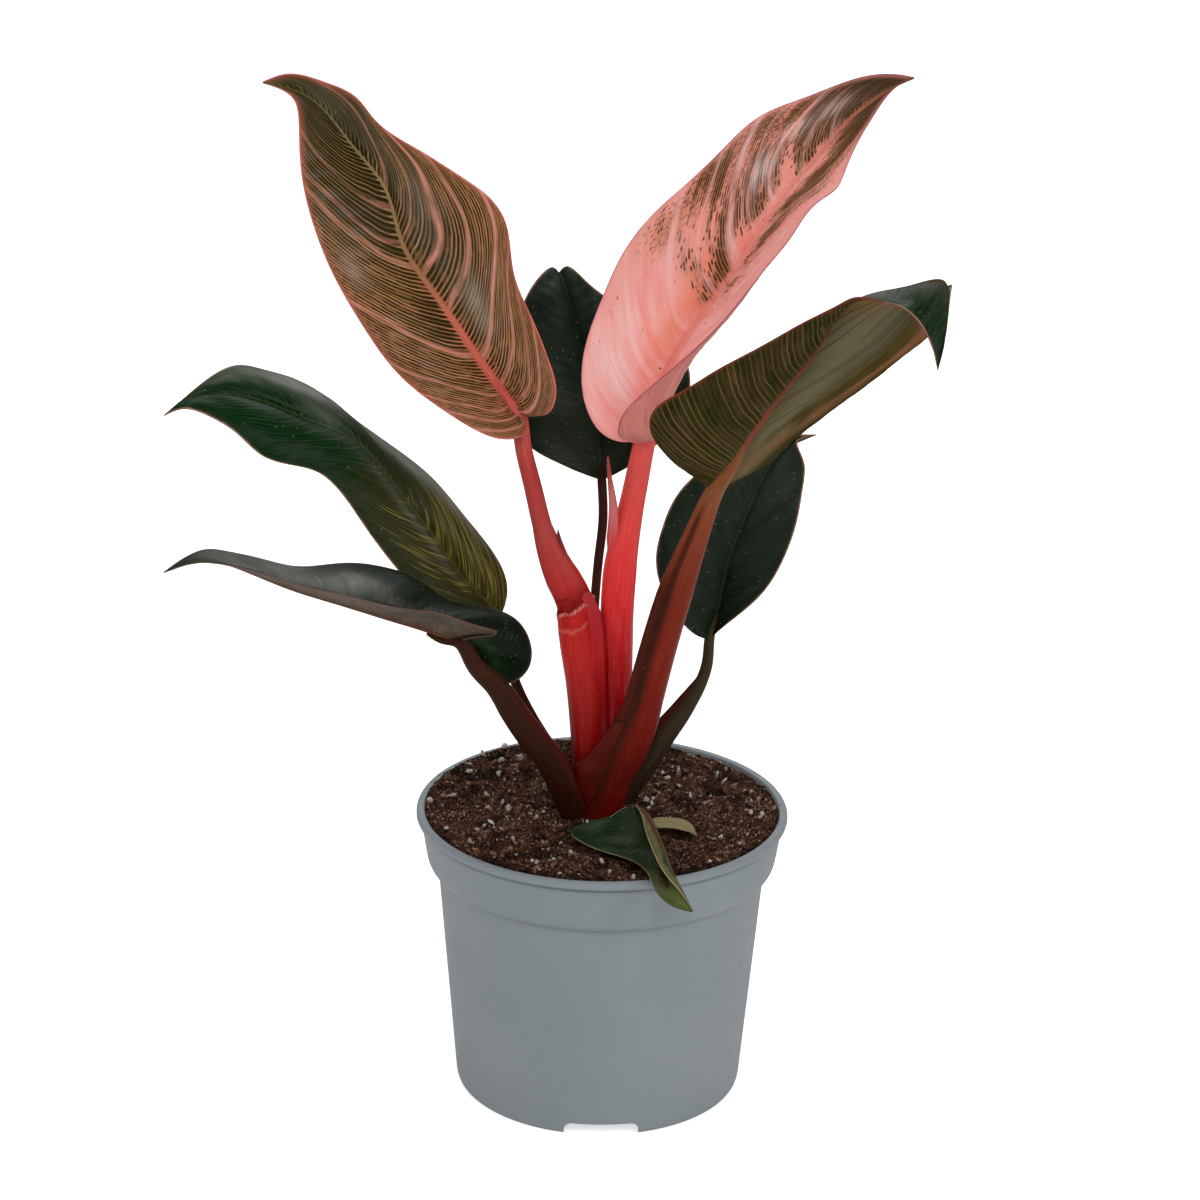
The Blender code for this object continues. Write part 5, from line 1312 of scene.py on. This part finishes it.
def scatterTree(name, shapeKind):
    # scatters small lumps, chips or short bent fibres over a surface
    tree = bpy.data.node_groups.new(name, "GeometryNodeTree")
    tree.is_modifier = True
    kinds = dict(Geometry="Geometry", Density="Float", Smallest="Vector", Largest="Vector", Lift="Float",
                 Tilt="Float", Seed="Int", Finish="Material")
    for label, kind in kinds.items():
        tree.interface.new_socket(label, in_out="INPUT", socket_type="NodeSocket" + kind)
    tree.interface.new_socket("Geometry", in_out="OUTPUT", socket_type="NodeSocketGeometry")
    given = tree.nodes.new("NodeGroupInput").outputs
    out = tree.nodes.new("NodeGroupOutput").inputs

    def vector(*parts):
        return put(tree, "ShaderNodeCombineXYZ", dict(enumerate(parts))).outputs[0]

    def random(step, kind, low=None, high=None):
        # step keeps the draws of one seed apart
        node = put(tree, "FunctionNodeRandomValue", {"Seed": plus(given["Seed"], step)}, data_type=kind)
        if low is not None:
            fill(node.inputs[0], low)
            fill(node.inputs[1], high)
        return node.outputs

    points = put(tree, "GeometryNodeDistributePointsOnFaces",
                 {"Mesh": given["Geometry"], "Density": given["Density"], "Seed": given["Seed"]})
    placed = put(tree, "GeometryNodeSetPosition",
                 {"Geometry": points.outputs["Points"], "Offset": vector(0, 0, given["Lift"])})
    tilt, back = given["Tilt"], times(given["Tilt"], -1.0)
    # each piece is tilted a little and turned by up to a full turn
    spin = random(3, "FLOAT_VECTOR", vector(back, back), vector(tilt, tilt, 6.283))[0]
    size = random(5, "FLOAT_VECTOR", given["Smallest"], given["Largest"])[0]
    shape = scatterShape(tree, shapeKind)
    copies = put(tree, "GeometryNodeInstanceOnPoints",
                 {"Points": placed.outputs[0], "Instance": shape, "Rotation": spin, "Scale": size})
    marked = put(tree, "GeometryNodeStoreNamedAttribute",
                 {"Geometry": copies.outputs[0], "Name": "shade", "Value": random(7, "FLOAT")[1]},
                 data_type="FLOAT", domain="INSTANCE")
    real = put(tree, "GeometryNodeRealizeInstances", {"Geometry": marked.outputs[0]}).outputs[0]
    dressed = put(tree, "GeometryNodeSetMaterial", {"Geometry": real, "Material": given["Finish"]})
    fill(out[0], dressed.outputs[0])
    return tree


def scatter(name, surface, tree, values, finish):
    made = newObject(name, surface.copy(), smooth=False)
    grown = made.modifiers.new("scatter", "NODES")
    grown.node_group = tree
    sockets = {item.name: item.identifier for item in tree.interface.items_tree if item.in_out == "INPUT"}
    for label, value in dict(values, Finish=finish).items():
        grown[sockets[label]] = value
    bake(made)
    if not made.data.materials:
        made.data.materials.append(finish)
    print(name, len(made.data.polygons), "faces")
    return made


# density is pieces per square metre; sizes are metres
soilBits = dict(
    crumbs=dict(
        Density=865000.0, Smallest=(0.0003, 0.0003, 0.0003), Largest=(0.0014, 0.0011, 0.0009), Lift=0.0001,
        Tilt=1.5, Seed=11),
    lumps=dict(
        Density=70000.0, Smallest=(0.0008, 0.0008, 0.0006), Largest=(0.0026, 0.002, 0.0016), Lift=0.0002,
        Tilt=0.9, Seed=4),
    perlite=dict(
        Density=5600.0, Smallest=(0.0008, 0.0007, 0.0006), Largest=(0.003, 0.0022, 0.0018), Lift=0.0009,
        Tilt=3.1, Seed=23),
    grit=dict(
        Density=26000.0, Smallest=(0.0003, 0.0003, 0.0003), Largest=(0.001, 0.0009, 0.0008), Lift=0.0006,
        Tilt=3.1, Seed=41),
    fibres=dict(
        Density=320000.0, Smallest=(0.0015, 0.0015, 0.0015), Largest=(0.0065, 0.005, 0.004), Lift=0.0005,
        Tilt=0.5, Seed=31))


def buildSoil():
    # points spread over what lies on the soil
    lying = []
    for node in ("old_leaf", "leaf_scrap"):
        cover = bpy.data.objects[node].data
        for face in cover.polygons:
            corners = [cover.vertices[i].co / mm for i in face.vertices]
            for a in range(5):
                lying += [corners[0].lerp(corners[1], a / 4).lerp(corners[2], b / 4) for b in range(5)]
    covers = kdtree.KDTree(len(lying))
    for i, spot in enumerate(lying):
        covers.insert((spot.x, spot.y, 0), i)
    covers.balance()
    top, body = soilMeshes(covers)
    peat = soilMaterial("peat", (10, 3, 0), (50, 28, 18), (136, 98, 76), 900, False)
    bits = soilMaterial("peatCrumb", (16, 6, 0), (112, 72, 56), (222, 184, 160), 1500, True)
    coir = soilMaterial("coir", (56, 28, 12), (130, 86, 58), (198, 154, 116), 1200, True)
    white = soilMaterial("perlite", (158, 142, 126), (220, 212, 202), (250, 246, 240), 1400, False, 0.0)
    body.materials.append(peat)
    settle(newObject("soil.bed", body), "soil", "soil")
    lump, chip, fibre = (scatterTree(kind + "s", kind) for kind in ("lump", "chip", "fibre"))
    dress = dict(crumbs=(chip, bits), lumps=(lump, bits), perlite=(lump, white), grit=(chip, white),
                 fibres=(fibre, coir))
    for name, (tree, finish) in dress.items():
        settle(scatter("soil." + name, top, tree, soilBits[name], finish), "soil")
    print("soil ready")


buildSoil()


# pot

# millimetres and degrees
potMake = dict(
    steps=160, cornerSteps=5, floorRaise=4.6, hub=23.0, wall=1.3, height=95.1, rim=60.0, weld=0.01, sharp=32,
    drainHoles=6, drainRadius=3.2, drainRing=34.0, drainDepth=6.0, drainMiddle=5.5,
    notches=3, notchWidth=24.0, notchHeight=4.4, notchRound=2.6, notchFrom=41.0, notchTo=51.0, notchTurn=2)


def bodyRadius(z):
    return 46.4 + 0.0858 * z


def rounded(corners):
    # (radius, height, rounding) corners turned into a smooth outline
    points = []
    count = len(corners)
    for i, (r, z, turn) in enumerate(corners):
        here = np.array((r, z), float)
        if turn <= 0 or i in (0, count - 1):
            points.append(here)
            continue
        back = np.array(corners[i - 1][:2], float) - here
        on = np.array(corners[i + 1][:2], float) - here
        cutBack = here + back / np.linalg.norm(back) * min(turn, np.linalg.norm(back) * 0.48)
        cutOn = here + on / np.linalg.norm(on) * min(turn, np.linalg.norm(on) * 0.48)
        for t in np.linspace(0, 1, potMake["cornerSteps"]):
            points.append((1 - t) ** 2 * cutBack + 2 * t * (1 - t) * here + t * t * cutOn)
    return points


def potOutline():
    # from the middle of the floor's inside, over the rim, to the middle of its underside
    raised, hub, wall, high, rim = (potMake[key] for key in ("floorRaise", "hub", "wall", "height", "rim"))
    corners = [(0, 1.5, 0), (hub - 1.6, 1.5, 1.0), (hub + 1.0, raised + 1.5, 1.0),
               (bodyRadius(raised) - wall, raised + 1.5, 1.2), (bodyRadius(76) - wall, 75.8, 1.0),
               (54.3, 78.6, 1.0), (56.0, 90.6, 2.0), (57.4, high, 0.5),
               (59.5, high, 0.7), (rim, high - 0.9, 0.4), (rim, high - 2.2, 0.5), (58.9, high - 2.8, 0.3),
               (58.2, high - 3.3, 0.3), (58.3, high - 4.3, 0.8), (56.35, 78.6, 1.6), (54.9, 76.5, 1.2),
               (bodyRadius(76) + 0.05, 76.1, 0.5), (bodyRadius(1.7), 1.7, 1.5), (45.6, 0, 0.8), (44.1, 0, 0.3),
               (44.1, raised, 0.4), (hub + 1.6, raised, 0.8), (hub, 0, 0.8), (0, 0, 0)]
    return rounded(corners)


def plasticMaterial():
    made, tree, shader = newMaterial("greyPlastic", (134, 141, 147), 0.55)
    place = ownPlace(tree)
    clouds = cloudy(place, 14, 4, 0.6)
    colour = blend(between(clouds, 0.3, 0.7), (134, 143, 149), (142, 150, 156))
    specks = useGroup(tree, speckleGroup, {"Vector": place, "Scale": 900.0, "Amount": 0.10})
    colour = blend(times(specks["Mask"], 0.3), colour, (112, 120, 126))
    pale = useGroup(tree, speckleGroup, {"Vector": scaled(place, (1, 1, 1), (0.3, 0.1, 0.2)), "Scale": 700.0,
                                         "Amount": 0.06})
    colour = blend(times(pale["Mask"], 0.3), colour, (172, 178, 182))
    scuff = cloudy(scaled(place, (1, 1, 7)), 60, 5, 0.7)
    colour = blend(between(scuff, 0.62, 0.78, 0, 0.25), colour, (160, 166, 170))
    # painted shade: a darker line in the groove under the rim; these places are metres
    spots = apart(place)
    across = put(tree, "ShaderNodeVectorMath", {0: scaled(place, (1, 1, 0))}, operation="LENGTH")
    outside = between(across.outputs["Value"], 0.0576, 0.058)
    groove = times(between(spots[2], 0.0908, 0.092), between(spots[2], 0.0932, 0.0926))
    colour = blend(times(outside, groove, 0.75), colour, (98, 104, 108))
    fill(shader.inputs["Base Color"], colour)
    fill(shader.inputs["Roughness"], between(plus(scuff, specks["Grain"]), 0.6, 1.4, 0.5, 0.66))
    shader.inputs["Specular IOR Level"].default_value = 0.35
    grain = cloudy(place, 2600, 2, 0.6)
    ripple = times(cloudy(place, 90, 2), 1.4)
    bump(shader, plus(grain, ripple), 0.00008)
    return made


def cutterBox(name, outline, near, far, turn):
    # a block that cuts a notch through the foot
    shape = bmesh.new()
    face = shape.faces.new([shape.verts.new((x * mm, near * mm, z * mm)) for x, z in outline])
    grown = bmesh.ops.extrude_face_region(shape, geom=[face])
    moved = [v for v in grown["geom"] if isinstance(v, bmesh.types.BMVert)]
    bmesh.ops.translate(shape, verts=moved, vec=(0, (far - near) * mm, 0))
    bmesh.ops.recalc_face_normals(shape, faces=shape.faces)
    bmesh.ops.rotate(shape, verts=shape.verts, cent=(0, 0, 0), matrix=Matrix.Rotation(turn, 3, "Z"))
    mesh = bpy.data.meshes.new(name)
    shape.to_mesh(mesh)
    shape.free()
    return newObject(name, mesh, smooth=False)


def potCutters():
    half, tall, turned = potMake["notchWidth"] / 2, potMake["notchHeight"], potMake["notchRound"]
    curve = [(half - turned + turned * math.sin(a), tall - turned + turned * math.cos(a))
             for a in np.linspace(0, math.pi / 2, 6)]
    notch = [(-half, -1.0), (half, -1.0)] + curve[::-1] + [(-x, z) for x, z in curve]
    cutters = []
    for i in range(potMake["notches"]):
        turn = -math.pi + math.radians(potMake["notchTurn"]) + 2 * math.pi * i / potMake["notches"]
        cutters.append(cutterBox("notch%d" % i, notch, potMake["notchFrom"], potMake["notchTo"], turn))
    for i in range(potMake["drainHoles"]):
        turn = 2 * math.pi * (i + 0.5) / potMake["drainHoles"]
        away = potMake["drainRing"] * mm
        bpy.ops.mesh.primitive_cylinder_add(
            vertices=32, radius=potMake["drainRadius"] * mm, depth=potMake["drainDepth"] * mm,
            location=(away * math.cos(turn), away * math.sin(turn), potMake["drainMiddle"] * mm))
        cutters.append(bpy.context.object)
    return cutters


def buildPot():
    outline = potOutline()
    edges = [(i, i + 1) for i in range(len(outline) - 1)]
    mesh = bpy.data.meshes.new("pot.shell")
    mesh.from_pydata([(r * mm, 0, z * mm) for r, z in outline], edges, [])
    pot = newObject("pot.shell", mesh, smooth=False)
    turned = pot.modifiers.new("turn", "SCREW")
    turned.steps = turned.render_steps = potMake["steps"]
    turned.use_merge_vertices = True
    turned.merge_threshold = potMake["weld"] * mm
    bake(pot)
    outward(pot.data, potMake["weld"] * mm)
    cutters = potCutters()
    for cutter in cutters:
        cut = pot.modifiers.new("cut", "BOOLEAN")
        cut.operation = "DIFFERENCE"
        cut.solver = "EXACT"
        cut.object = cutter
    bake(pot)
    for cutter in cutters:
        bpy.data.objects.remove(cutter, do_unlink=True)
    pot.data.shade_smooth()
    pot.data.set_sharp_from_angle(angle=math.radians(potMake["sharp"]))
    pot.data.materials.clear()
    pot.data.materials.append(plasticMaterial())
    settle(pot, "grey_plastic", "pot")
    print("pot ready")


buildPot()
